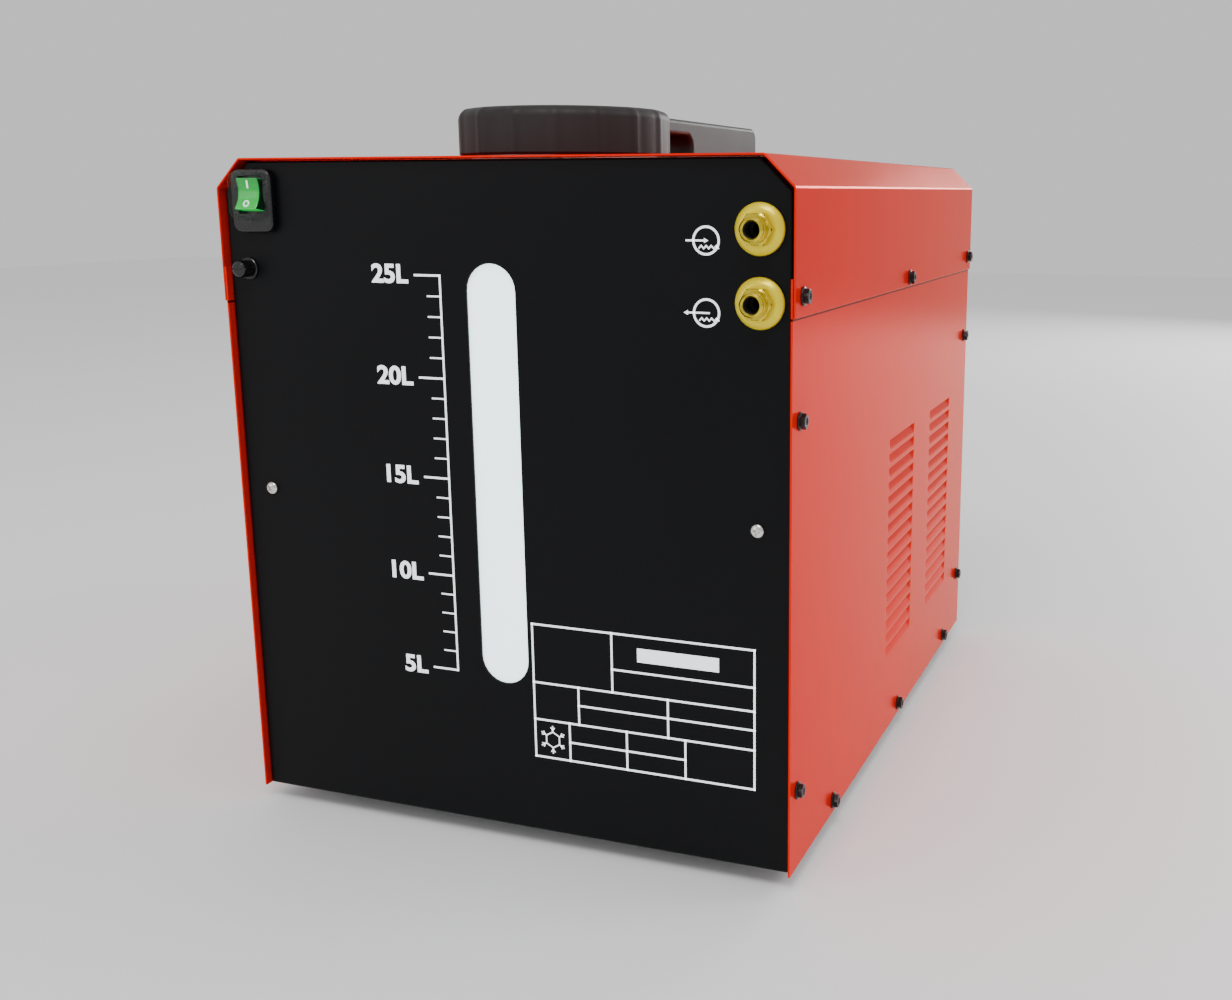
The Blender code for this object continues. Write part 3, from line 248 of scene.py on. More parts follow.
class Finish(Tree):
    """A material whose pattern lies on Object coordinates."""

    def __init__(self, name):
        self.material = bpy.data.materials.new(name)
        self.material.use_nodes = True
        super().__init__(self.material.node_tree)
        self.nodes.nodes.clear()
        self.place = self.node("ShaderNodeTexCoord")["Object"]

    def noise(self, scale, detail=2.0, stretch=(1, 1, 1), rough=0.5):
        """Noise of about 1/scale metres, drawn out along the axes with a small stretch."""
        place = self.place
        if stretch != (1, 1, 1):
            place = self.node("ShaderNodeMapping", None, {"Vector": place, "Scale": stretch})["Vector"]
        return self.node("ShaderNodeTexNoise", None, {
            "Vector": place, "Scale": scale, "Detail": detail, "Roughness": rough})["Fac"]

    def ramp(self, value, stops):
        return self.node("ShaderNodeValToRGB", {"stops": stops}, {"Fac": value})["Color"]

    def blend(self, factor, first, second):
        """A colour between two, which may be links or RGB."""
        given = {}
        for key, shade in ((6, first), (7, second)):
            given[key] = shade if isinstance(shade, Value) else (*shade, 1)
        return self.node("ShaderNodeMix", {"data_type": "RGBA"}, {"Factor": factor, **given})[2]

    def bump(self, height, strength, distance):
        return self.node("ShaderNodeBump", None, {
            "Height": height, "Strength": strength, "Distance": distance})["Normal"]

    def surface(self, **inputs):
        """End the tree in a Principled shader; names use _ for a space."""
        given = {}
        for key, value in inputs.items():
            if isinstance(value, tuple) and len(value) == 3:
                value = (*value, 1)
            given[key.replace("_", " ")] = value
        shader = self.node("ShaderNodeBsdfPrincipled", None, given)["BSDF"]
        self.node("ShaderNodeOutputMaterial", None, {"Surface": shader})
        return self.material


def shades(base, low, high):
    """A darker and a lighter shade of a colour."""
    return tuple(c * low for c in base), tuple(min(1.0, c * high) for c in base)


FINISHES = {}


def finish(name):
    """The finish of that name, made the first time it is asked for."""
    if name not in FINISHES:
        FINISHES[name] = MAKERS[name]()
    return FINISHES[name]


def gloss_paint():
    """Stoved red enamel with a fine orange peel, and a painted shadow line along the cover's lower edge."""
    made = Finish("red_enamel")
    peel = made.noise(420, 2.0)
    cloud = made.noise(9, 4.0)
    dark, light = shades(sizes("case").red, 0.90, 1.06)
    z = split(made)[2]
    # Painted shadow: a band 1.4 mm high at the cover's lower edge, painted almost black, for the shade
    # where the cover's edge overlaps the side panels.
    painted_seam_shadow = z.maths("COMPARE", z, COVER_LOW.z - 0.0007, 0.0007)
    shell = made.blend(cloud, dark, light)
    return made.surface(Base_Color=made.blend(painted_seam_shadow, shell, shades(dark, 0.12, 1)[0]),
                        Roughness=0.16 + 0.08 * cloud, Metallic=0.30,
                        Specular_IOR_Level=0.04, Specular_Tint=(1.0, 0.42, 0.18),
                        Normal=made.bump(peel, 0.08, 0.0002))


def satin_black():
    """Fine-textured black powder coat."""
    made = Finish("black_powder_coat")
    grain = made.noise(1500, 3.0)
    cloud = made.noise(7, 4.0)
    dark, light = shades(sizes("case").black, 0.82, 1.25)
    return made.surface(Base_Color=made.blend(cloud, dark, light),
                        Roughness=0.34 + 0.12 * cloud + 0.05 * grain, Specular_IOR_Level=0.11,
                        Normal=made.bump(grain, 0.12, 0.0002))


def moulded_black():
    """Black plastic with a spark-eroded grain."""
    made = Finish("moulded_black")
    grain = made.noise(1900, 2.0)
    flow = made.noise(22, 5.0, (1, 1, 0.3))
    return made.surface(Base_Color=made.blend(flow, (0.0120, 0.0098, 0.0100), (0.0250, 0.0205, 0.0210)),
                        Roughness=0.42 + 0.16 * flow, Specular_IOR_Level=0.28,
                        Normal=made.bump(grain, 0.22, 0.0002))


def gloss_black():
    """Smooth black plastic of the switch frame and the fuse holder."""
    made = Finish("smooth_black")
    haze = made.noise(160, 3.0)
    return made.surface(Base_Color=made.blend(haze, (0.0030, 0.0030, 0.0034), (0.0065, 0.0065, 0.0072)),
                        Roughness=0.20 + 0.14 * haze,
                        Normal=made.bump(haze, 0.05, 0.0002))


def black_oxide():
    """Blackened steel screws, brighter where handled."""
    made = Finish("black_oxide_steel")
    wear = made.noise(520, 4.0)
    return made.surface(Base_Color=made.blend(wear, (0.006, 0.006, 0.007), (0.050, 0.048, 0.050)),
                        Metallic=0.75, Roughness=0.20 + 0.22 * wear,
                        Normal=made.bump(wear, 0.12, 0.0002))


def plated(name, base, rough, streak=(1, 1, 1), spread=0.8):
    """Bright plated metal with soft clouding."""
    made = Finish(name)
    cloud = made.noise(130, 4.0)
    lines = made.noise(900, 2.0, streak)
    dark, light = shades(base, spread, 1.08)
    return made.surface(Base_Color=made.blend(cloud, dark, light), Metallic=1.0,
                        Roughness=rough + 0.12 * lines,
                        Normal=made.bump(lines, 0.08, 0.0001))


def yellow_passivate():
    """Yellow chromate over zinc: the film runs from lemon to gold."""
    made = Finish("yellow_passivate")
    film = made.noise(70, 3.0)
    lemon = sizes("fittings").yellow
    gold = (lemon[0] * 0.86, lemon[1] * 0.74, lemon[2] * 0.9)
    return made.surface(Base_Color=made.blend(film, gold, lemon), Metallic=0.35,
                        Roughness=0.26 + 0.12 * film,
                        Normal=made.bump(film, 0.05, 0.0002))


def white_tank():
    """Translucent white polyethylene; blow moulding leaves it faintly uneven. Its glow is painted light,
    full up to 3 cm under the cover's top and gone 1 cm under it.
    """
    made = Finish("white_polyethylene")
    flow = made.noise(16, 4.0, (1, 1, 0.35))
    skin = made.noise(260, 2.0)
    # Painted light: this mask gives the tank its glow everywhere but near the cover's top.
    inside = made.node("ShaderNodeMapRange", {"clamp": True}, {
        0: split(made)[2], 1: COVER_HIGH.z - 0.03, 2: COVER_HIGH.z - 0.01, 3: 1.0, 4: 0.0})[0]
    return made.surface(Base_Color=made.blend(flow, (0.80, 0.88, 0.88), (0.90, 0.96, 0.96)),
                        Roughness=0.38 + 0.10 * skin, Emission_Strength=2.0,
                        Emission_Color=made.blend(inside, (0.0, 0.0, 0.0), (0.80, 0.98, 1.0)),
                        Normal=made.bump(skin, 0.10, 0.0003))


def lit_green():
    """The rocker's green lens with its lamp on; its upper half is painted darker, painted shade on the
    pressed-in half.
    """
    made = Finish("lit_green_lens")
    low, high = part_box("switch_rocker")
    _, _, z = split(made)
    # Painted shade: base colour and glow fade from full green at the rocker's lower edge to a darker green
    # towards its top.
    painted_shade_ramp = made.node("ShaderNodeMapRange", {"clamp": True}, {
        0: z, 1: low.z, 2: high.z, 3: 1.0, 4: 0.35})[0]
    green = sizes("fittings").green
    deep = shades(green, 0.35, 1.0)[0]
    return made.surface(Base_Color=made.blend(painted_shade_ramp, deep, green),
                        Emission_Color=made.blend(painted_shade_ramp, deep, (0.0, 0.80, 0.09)),
                        Emission_Strength=0.60, Roughness=0.16 + 0.05 * made.noise(300))


def split(made):
    """The x, y and z of a finish's Object coordinates."""
    parts = made.node("ShaderNodeSeparateXYZ", None, {0: made.place})
    return parts[0], parts[1], parts[2]


def clear_silicone():
    """Clear boot: colourless face on; its dark green, stronger where it turns away, is painted reflection
    of the lit rocker.
    """
    made = Finish("clear_silicone")
    edge = made.node("ShaderNodeLayerWeight", None, {"Blend": 0.35})["Facing"] ** 2
    haze = made.noise(220, 3.0)
    # Painted reflection: green from the lit rocker, strongest at the boot's edges.
    return made.surface(Base_Color=made.blend(edge, (0.004, 0.030, 0.012), (0.010, 0.075, 0.030)),
                        Alpha=0.04 + 0.45 * edge, Roughness=0.05 + 0.04 * haze)


def white_ink():
    """Screen-printed white, thin enough for the coat's grain to show, with a painted glow that brightens
    it.
    """
    made = Finish("white_print")
    grain = made.noise(1500, 3.0)
    ink = sizes("printing").ink
    dark, light = shades(ink, 0.92, 1.05)
    # Painted light: a faint white glow on all print.
    return made.surface(Base_Color=made.blend(grain, dark, light), Roughness=0.45 + 0.1 * grain,
                        Emission_Color=(0.9, 0.97, 1.0), Emission_Strength=0.9,
                        Normal=made.bump(grain, 0.12, 0.0001))


def soft_rubber():
    made = Finish("black_rubber")
    bloom = made.noise(60, 5.0)
    return made.surface(Base_Color=made.blend(bloom, (0.012, 0.012, 0.012), (0.035, 0.034, 0.033)),
                        Roughness=0.62 + 0.25 * bloom,
                        Normal=made.bump(made.noise(900), 0.2, 0.0002))


def zinc_sheet():
    """Galvanised sheet with its spangle."""
    made = Finish("galvanised_sheet")
    spangle = made.node("ShaderNodeTexVoronoi", None, {"Vector": made.place, "Scale": 160.0})["Color"]
    grey = made.node("ShaderNodeSeparateColor", None, {0: spangle})[0]
    return made.surface(Base_Color=made.blend(grey, (0.42, 0.43, 0.45), (0.66, 0.67, 0.69)),
                        Metallic=1.0, Roughness=0.30 + 0.18 * grey)


def cast_body():
    made = Finish("cast_pump_metal")
    sand = made.noise(520, 6.0)
    return made.surface(Base_Color=made.blend(sand, (0.20, 0.20, 0.21), (0.42, 0.42, 0.43)),
                        Metallic=0.8, Roughness=0.45 + 0.25 * sand,
                        Normal=made.bump(sand, 0.5, 0.0005))


def motor_paint():
    made = Finish("motor_paint")
    spray = made.noise(300, 4.0)
    return made.surface(Base_Color=made.blend(spray, (0.030, 0.045, 0.065), (0.060, 0.080, 0.110)),
                        Roughness=0.38 + 0.2 * spray, Normal=made.bump(spray, 0.2, 0.0003))


def fuse_glass():
    made = Finish("fuse_glass")
    smear = made.noise(400)
    return made.surface(Base_Color=made.blend(smear, (0.80, 0.86, 0.86), (0.92, 0.95, 0.95)),
                        Alpha=0.35 + 0.15 * smear, Roughness=0.05 + 0.05 * smear)


def cream_plastic():
    made = Finish("cream_plastic")
    flow = made.noise(90, 4.0)
    return made.surface(Base_Color=made.blend(flow, (0.62, 0.60, 0.52), (0.76, 0.74, 0.66)),
                        Roughness=0.40 + 0.15 * flow, Normal=made.bump(flow, 0.08, 0.0003))


def lens_side():
    """The rocker's sides, which carry no lamp light; their much darker green is painted shade."""
    made = Finish("green_lens_side")
    haze = made.noise(300)
    return made.surface(Base_Color=made.blend(haze, (0.001, 0.018, 0.006), (0.002, 0.040, 0.012)),
                        Roughness=0.25 + 0.1 * haze)


MAKERS = {
    "red_paint": gloss_paint,
    "black_paint": satin_black,
    "black_moulding": moulded_black,
    "smooth_black": gloss_black,
    "black_screw": black_oxide,
    "bright_steel": lambda: plated("bright_steel", (0.74, 0.74, 0.72), 0.16),
    "brass": lambda: plated("coupling_brass", tuple(sizes("fittings").brass), 0.18, (1, 0.2, 1)),
    "yellow_zinc": yellow_passivate,
    "white_tank": white_tank,
    "green_lens": lit_green,
    "lens_side": lens_side,
    "clear_boot": clear_silicone,
    "white_ink": white_ink,
    "black_rubber": soft_rubber,
    "zinc_steel": zinc_sheet,
    "cast_metal": cast_body,
    "motor_paint": motor_paint,
    "fuse_glass": fuse_glass,
    "white_plastic": cream_plastic,
    "core_aluminium": lambda: plated("core_aluminium", (0.56, 0.57, 0.58), 0.34, (1, 1, 0.1)),
}


# ---- Outlines ----

def arc(centre, radius, start, end, steps):
    """Points on an arc, angles in degrees."""
    points = []
    for step in range(steps + 1):
        angle = radians(start + (end - start) * step / steps)
        points.append((centre[0] + radius * cos(angle), centre[1] + radius * sin(angle)))
    return points


def circle(centre, radius, steps):
    return arc(centre, radius, 0, 360, steps)[:-1]


def rounded(points, radius, steps=5, closed=True):
    """A polygon or an open line with each corner turned on a radius."""
    made = []
    count = len(points)
    for index, point in enumerate(points):
        if not closed and index in (0, count - 1):
            made.append(point)
            continue
        corner = Vector(point)
        before = (Vector(points[index - 1]) - corner).normalized()
        after = (Vector(points[(index + 1) % count]) - corner).normalized()
        half = before.angle(after) / 2
        reach = radius / tan(half)
        centre = corner + (before + after).normalized() * (radius / sin(half))
        start = corner + before * reach - centre
        end = corner + after * reach - centre
        first = atan2(start.y, start.x)
        sweep = (atan2(end.y, end.x) - first + pi) % (2 * pi) - pi
        for step in range(steps + 1):
            angle = first + sweep * step / steps
            made.append((centre.x + radius * cos(angle), centre.y + radius * sin(angle)))
    return made


def box_outline(low, high):
    return [(low[0], low[1]), (high[0], low[1]), (high[0], high[1]), (low[0], high[1])]


def pill(centre_u, low, high, width, steps=14):
    """An upright slot with round ends."""
    radius = width / 2
    top = arc((centre_u, high - radius), radius, 0, 180, steps)
    return top + arc((centre_u, low + radius), radius, 180, 360, steps)


def shoulder_line(low, high, bottom):
    """The front outline of the case between two corners, (x, z) points from lower left."""
    slope = sizes("case").shoulder
    return [(low[0], bottom), (low[0], high[1] - slope), (low[0] + slope, high[1]),
            (high[0] - slope, high[1]), (high[0], high[1] - slope), (high[0], bottom)]


# ---- Solids ----

PLACE = {
    "X": lambda u, v, h: (h, u, v),
    "Y": lambda u, v, h: (u, h, v),
    "Z": lambda u, v, h: (u, v, h),
}


def facing_out(mesh):
    bmesh.ops.remove_doubles(mesh, verts=mesh.verts, dist=1e-6)
    bmesh.ops.recalc_face_normals(mesh, faces=mesh.faces)
    return mesh


def loft(rings, ends=True):
    """Skin closed rings of equal count, given as lists of points; flat ends."""
    mesh = bmesh.new()
    rows = [[mesh.verts.new(point) for point in ring] for ring in rings]
    for first, second in zip(rows, rows[1:]):
        for index in range(len(first)):
            after = (index + 1) % len(first)
            mesh.faces.new((first[index], first[after], second[after], second[index]))
    if ends:
        mesh.faces.new(rows[0])
        mesh.faces.new(rows[-1])
    return facing_out(mesh)


def prism(outline, axis, low, high):
    """A solid of constant outline between two heights along an axis."""
    return loft([[PLACE[axis](u, v, height) for u, v in outline] for height in (low, high)])


def turned(profile, axis, centre, steps=48, closed=True):
    """A solid of revolution from a (radius, height) profile."""
    mesh = bmesh.new()
    place = PLACE[axis]
    rows = []
    for step in range(steps):
        angle = 2 * pi * step / steps
        rows.append([mesh.verts.new(Vector(place(r * cos(angle), r * sin(angle), h)) + Vector(centre))
                     for r, h in profile])
    last = len(profile) if closed else len(profile) - 1
    for first, second in zip(rows, rows[1:] + rows[:1]):
        for index in range(last):
            after = (index + 1) % len(profile)
            mesh.faces.new((first[index], first[after], second[after], second[index]))
    bmesh.ops.remove_doubles(mesh, verts=mesh.verts, dist=1e-7)
    bmesh.ops.dissolve_degenerate(mesh, edges=mesh.edges, dist=1e-7)
    return facing_out(mesh)


def put_together(meshes):
    """Several solids in one mesh, side by side."""
    whole = bmesh.new()
    for part in meshes:
        data = bpy.data.meshes.new("part")
        part.to_mesh(data)
        part.free()
        whole.from_mesh(data)
        bpy.data.meshes.remove(data)
    return whole


def block(low, high):
    return prism(box_outline(low[:2], high[:2]), "Z", low[2], high[2])


def ring_about(centre, y, count, reach, start=0.0):
    """Points round an axis along Y, their radius a function of the step and its angle."""
    points = []
    for step in range(count):
        angle = 2 * pi * step / count
        radius = reach(step, angle)
        points.append((centre.x + radius * cos(angle + start), y, centre.z + radius * sin(angle + start)))
    return points


def hex_reach(flats, angle):
    """From the middle of a hexagon to its edge."""
    return flats / 2 / cos((angle + pi / 6) % (pi / 3) - pi / 6)


# ---- Objects ----

def new_object(name, mesh, material=None):
    data = bpy.data.meshes.new(name)
    mesh.to_mesh(data)
    mesh.free()
    if material:
        data.materials.append(material)
    made = bpy.data.objects.new(name, data)
    bpy.context.scene.collection.objects.link(made)
    return made


def cut(made, mesh):
    """Take a solid away from a piece."""
    tool = new_object(made.name + "_tool", mesh)
    modifier = made.modifiers.new("cut", "BOOLEAN")
    modifier.operation = "DIFFERENCE"
    modifier.solver = "EXACT"
    modifier.object = tool
    settle(made, None)
    bpy.data.objects.remove(tool)
    return made


def round_edges(made, width, segments=3, limit=35):
    bevel = made.modifiers.new("round", "BEVEL")
    bevel.width = width
    bevel.segments = segments
    bevel.limit_method = "ANGLE"
    bevel.angle_limit = radians(limit)
    bevel.miter_outer = "MITER_ARC"
    return made


def settle(made, sharp=32):
    """Apply a piece's modifiers as a plain mesh, with smooth shading up to an angle."""
    if sharp:
        made.data.shade_smooth()
    depsgraph = bpy.context.evaluated_depsgraph_get()
    solid = bpy.data.meshes.new_from_object(made.evaluated_get(depsgraph))
    made.modifiers.clear()
    old = made.data
    made.data = solid
    bpy.data.meshes.remove(old)
    solid.name = made.name
    if sharp:
        solid.shade_smooth()
        solid.set_sharp_from_angle(angle=radians(sharp))
    return made


def even_shading(made, sharp=32):
    """Settle a bevelled piece so that its flat faces shade flat."""
    made.data.shade_smooth()
    made.data.set_sharp_from_angle(angle=radians(sharp))
    weights = made.modifiers.new("weights", "WEIGHTED_NORMAL")
    weights.keep_sharp = True
    depsgraph = bpy.context.evaluated_depsgraph_get()
    solid = bpy.data.meshes.new_from_object(made.evaluated_get(depsgraph))
    made.modifiers.clear()
    made.data = solid
    solid.name = made.name
    return made


def place_piece(made, slot, *nodes, body=MAIN_BODY):
    """Hand a finished piece to its body, with the nodes it stands for."""
    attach(made, body)
    if nodes:
        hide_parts(*nodes)
    return made


# ---- Geometry node trees ----

class Repeat(Tree):
    """A geometry tree with named inputs, run once on a mesh and settled."""

    def __init__(self, name, **inputs):
        nodes = bpy.data.node_groups.new(name, "GeometryNodeTree")
        super().__init__(nodes)
        nodes.interface.new_socket("Geometry", in_out="INPUT", socket_type="NodeSocketGeometry")
        kinds = {float: "NodeSocketFloat", int: "NodeSocketInt", bpy.types.Object: "NodeSocketObject",
                 bpy.types.Material: "NodeSocketMaterial"}
        self.given = inputs
        for key, value in inputs.items():
            kind = next(socket for held, socket in kinds.items() if isinstance(value, held))
            nodes.interface.new_socket(key, in_out="INPUT", socket_type=kind)
        nodes.interface.new_socket("Geometry", in_out="OUTPUT", socket_type="NodeSocketGeometry")
        self.inputs = self.node("NodeGroupInput")

    def row(self, count, start, step):
        """Points in a row, from its start and by its step."""
        return self.node("GeometryNodeMeshLine", {"mode": "OFFSET"}, {
            "Count": count, "Start Location": start, "Offset": step})[0]

    def shape(self, key):
        """The geometry of the object that was given under that name."""
        return self.node("GeometryNodeObjectInfo", None, {"Object": self.inputs[key]})["Geometry"]

    def copies(self, points, shape, **how):
        """One instance of a shape on each point."""
        return self.node("GeometryNodeInstanceOnPoints", None, {
            "Points": points, "Instance": shape, **how})[0]

    def joined(self, *parts):
        return self.node("GeometryNodeJoinGeometry", None, {0: list(parts)})[0]

    def finish(self, geometry):
        """Realize the instances and give them their material."""
        real = self.node("GeometryNodeRealizeInstances", None, {0: geometry})[0]
        dressed = self.node("GeometryNodeSetMaterial", None, {
            "Geometry": real, "Material": self.inputs["Material"]})[0]
        self.node("NodeGroupOutput", None, {0: dressed})

    def run_on(self, made):
        modifier = made.modifiers.new(self.nodes.name, "NODES")
        modifier.node_group = self.nodes
        for item in self.nodes.interface.items_tree:
            if item.in_out == "INPUT" and item.name in self.given:
                modifier[item.identifier] = self.given[item.name]
        return made


def remove_tools(*tools):
    for tool in tools:
        bpy.data.objects.remove(tool)


# ---- The shell ----

class COOLER_OT_upper_cover(bpy.types.Operator):
    """Bend the red cover over the case, with its neck hole"""
    bl_idname = "cooler.upper_cover"
    bl_label = "Upper cover"

    def execute(self, context):
        case = sizes("case")
        low = (COVER_LOW.x, COVER_LOW.z)
        high = (COVER_HIGH.x, COVER_HIGH.z)
        sheet = case.sheet
        outside = rounded(shoulder_line(low, high, low[1]), case.bend, 6, closed=False)
        inset = sheet * (1 - tan(pi / 8))
        inner_high = (high[0] - sheet, high[1] - sheet)
        inner = shoulder_line((low[0] + sheet, low[1]), inner_high, low[1])
        inner[1] = (inner[1][0], inner[1][1] + inset)
        inner[2] = (inner[2][0] - inset, inner[2][1])
        inner[3] = (inner[3][0] + inset, inner[3][1])
        inner[4] = (inner[4][0], inner[4][1] + inset)
        inside = rounded(inner, case.bend - sheet, 6, closed=False)
        made = new_object("shell_cover", prism(outside + inside[::-1], "Y", COVER_LOW.y, COVER_HIGH.y),
                          finish("red_paint"))
        neck = middle("tank_cap")
        hole = (CAP_HIGH.x - CAP_LOW.x) / 2 - 0.0055
        cut(made, prism(circle((neck.x, neck.y), hole, 64), "Z", high[1] - 0.01, high[1] + 0.01))
        round_edges(made, 0.0003, 2, 50)
        even_shading(made, 28)
        place_piece(made, "red_paint", "upper_cover")
        return {"FINISHED"}


class COOLER_OT_side_panels(bpy.types.Operator):
    """Press the louvres into both side panels"""
    bl_idname = "cooler.side_panels"
    bl_label = "Louvred side panels"

    def execute(self, context):
        for side, word in ((1, "right"), (-1, "left")):
            sheet, cell = louvred_sheet(side), louvre_cell(side)
            case = sizes("case")
            press = louvre_tree(cell)
            press.run_on(sheet)
            thick = sheet.modifiers.new("sheet", "SOLIDIFY")
            thick.thickness = case.sheet
            thick.offset = -1
            settle(sheet, 38)
            remove_tools(cell)
            sheet.name = "shell_side_" + word
            place_piece(sheet, "red_paint", "side_panel_" + word)
        return {"FINISHED"}


def louvre_columns():
    """The middle of each louvre column, along Y."""
    return CASE_FRONT + 0.268, CASE_FRONT + 0.404


def louvre_heights():
    """Lines across one louvre cell, from the strip below its blade up to the blade's free edge."""
    case = sizes("case")
    strip = (case.louvre_pitch - case.louvre_height) / 2
    blade = [-case.louvre_height * share for share in (1, 0.86, 0.70, 0.54, 0.38, 0.24, 0.12, 0.05, 0)]
    return [-case.louvre_height - strip] + blade


def louvre_spans():
    """Lines along one louvre, close together where its ends are drawn down."""
    half = sizes("case").louvre_length / 2
    near = [half - step for step in (0, 0.0006, 0.0014, 0.0024, 0.0034, 0.0046, 0.0060, 0.0080, 0.016)]
    return [-value for value in near] + [0.0] + near[::-1]


def blade_depth(span, height):
    """How deep the blade is pressed at a place on it."""
    case = sizes("case")
    ends = min(1.0, (case.louvre_length / 2 - abs(span)) / 0.0046)
    ends = ends * ends * (3 - 2 * ends)
    up = 1 + height / case.louvre_height
    return case.louvre_depth * ends * max(0.0, up) ** 1.35


def louvre_cell(side):
    """One louvre with its share of the sheet, its free edge at the origin."""
    mesh = bmesh.new()
    heights = louvre_heights()
    strip = sizes("case").louvre_pitch + heights[0]
    rows = [[(0 if z <= heights[1] else blade_depth(y, z), y, z) for y in louvre_spans()] for z in heights]
    above = [[(0, y, z) for y in louvre_spans()] for z in (0, strip)]
    for group in (rows, above):
        grid = [[mesh.verts.new((-side * depth, y, z)) for depth, y, z in row] for row in group]
        quads(mesh, grid, side)
    return new_object("louvre_cell", mesh)


def quads(mesh, grid, side, keep=None):
    """Faces between rows of vertices, wound to face out on that side."""
    for r, (lower, upper) in enumerate(zip(grid, grid[1:])):
        for c in range(len(lower) - 1):
            if keep and not keep(r, c):
                continue
            corners = (lower[c], lower[c + 1], upper[c + 1], upper[c])
            mesh.faces.new(corners if side > 0 else corners[::-1])


def louvred_sheet(side):
    """The flat of a side panel, open where the louvre cells go."""
    case = sizes("case")
    outside = SIDE_HIGH.x * side
    first = CASE_BOTTOM + case.louvre_first
    heights = louvre_heights()
    strip = case.louvre_pitch + heights[0]
    ys = [SIDE_LOW.y]
    guard = 0.0004
    for column in louvre_columns():
        spans = louvre_spans()
        ys += [column + span for span in [spans[0] - guard] + spans + [spans[-1] + guard]]
    ys.append(SIDE_HIGH.y)
    zs = [SIDE_LOW.z, first + heights[0] - guard]
    for row in range(case.louvre_rows):
        zs += [first + row * case.louvre_pitch + height for height in heights]
    top = first + (case.louvre_rows - 1) * case.louvre_pitch + strip
    zs += [top, top + guard, SIDE_HIGH.z]
    half = case.louvre_length / 2
    bottom = zs[2]

    def solid(row, column):
        y = (ys[column] + ys[column + 1]) / 2
        z = (zs[row] + zs[row + 1]) / 2
        in_column = any(abs(y - centre) < half for centre in louvre_columns())
        return not (in_column and bottom < z < top)

    mesh = bmesh.new()
    grid = [[mesh.verts.new((outside, y, z)) for y in ys] for z in zs]
    quads(mesh, grid, side, solid)
    loose = [vert for vert in mesh.verts if not vert.link_faces]
    bmesh.ops.delete(mesh, geom=loose, context="VERTS")
    return new_object("side_sheet", mesh)


WELD = 2e-6


def louvre_tree(cell):
    """Stack the louvre cell up each column and weld it into the sheet."""
    case = sizes("case")
    first, second = louvre_columns()
    deepest = min(vert.co.x for vert in cell.data.vertices)
    side_x = SIDE_HIGH.x if deepest < -1e-6 else -SIDE_HIGH.x
    tree = Repeat("louvres", Louvre=cell, Rows=case.louvre_rows, Pitch=case.louvre_pitch,
                  Face=side_x, Front=first, Rear=second, First=CASE_BOTTOM + case.louvre_first,
                  Material=finish("red_paint"))
    given = tree.inputs
    louvre = tree.shape("Louvre")
    columns = [given["Geometry"]]
    for key in ("Rear", "Front"):
        start = tree.vector(given["Face"], given[key], given["First"])
        rows = tree.row(given["Rows"], start, tree.vector(z=given["Pitch"]))
        stack = tree.copies(rows, louvre)
        columns.append(tree.node("GeometryNodeRealizeInstances", None, {0: stack})[0])
    welded = tree.node("GeometryNodeMergeByDistance", None, {
        "Geometry": tree.joined(*columns), "Distance": WELD})[0]
    tree.finish(welded)
    return tree


def end_panel(name, low, high, face_y, inward):
    """A black panel with its edges turned in and rounded, before its holes."""
    case = sizes("case")
    bend = case.panel_bend
    sheet = case.panel_sheet
    shift = (SIDE_HIGH.x - high.x) * (1 - tan(pi / 8))
    outline = shoulder_line((low.x, low.z), (high.x, high.z + 0.0012), low.z)
    outline[1] = (outline[1][0], outline[1][1] - shift + 0.0004)
    outline[2] = (outline[2][0] + shift - 0.0004, outline[2][1])
    outline[3] = (outline[3][0] - shift + 0.0004, outline[3][1])
    outline[4] = (outline[4][0], outline[4][1] - shift + 0.0004)
    rings = []
    for step in range(7):
        angle = radians(15 * step)
        inset = bend * (1 - sin(angle))
        depth = bend * (1 - cos(angle))
        rings.append((inset, face_y + inward * depth))
    rings.append((0.0, low.y if inward < 0 else high.y))
    outside = [[(x, y, z) for x, z in inset_outline(outline, inset)] for inset, y in rings]
    made = new_object(name, loft(outside), finish("black_paint"))
    start, end = sorted((face_y + inward * sheet, (low.y if inward < 0 else high.y) + inward * 0.001))
    cut(made, prism(inset_outline(outline, sheet), "Y", start, end))
    return made


def inset_outline(points, inset):
    """A polygon moved inwards, its corners softened."""
    moved = []
    count = len(points)
    for index, point in enumerate(points):
        corner = Vector(point)
        before = (Vector(points[index - 1]) - corner).normalized()
        after = (Vector(points[(index + 1) % count]) - corner).normalized()
        half = before.angle(after) / 2
        moved.append(corner + (before + after).normalized() * (inset / sin(half)))
    return rounded([tuple(point) for point in moved], 0.0016, 4)


def round_hole(node, radius, steps, through):
    """A cutter along Y in line with a node."""
    centre = middle(node)
    return prism(circle((centre.x, centre.z), radius, steps), "Y", *through)


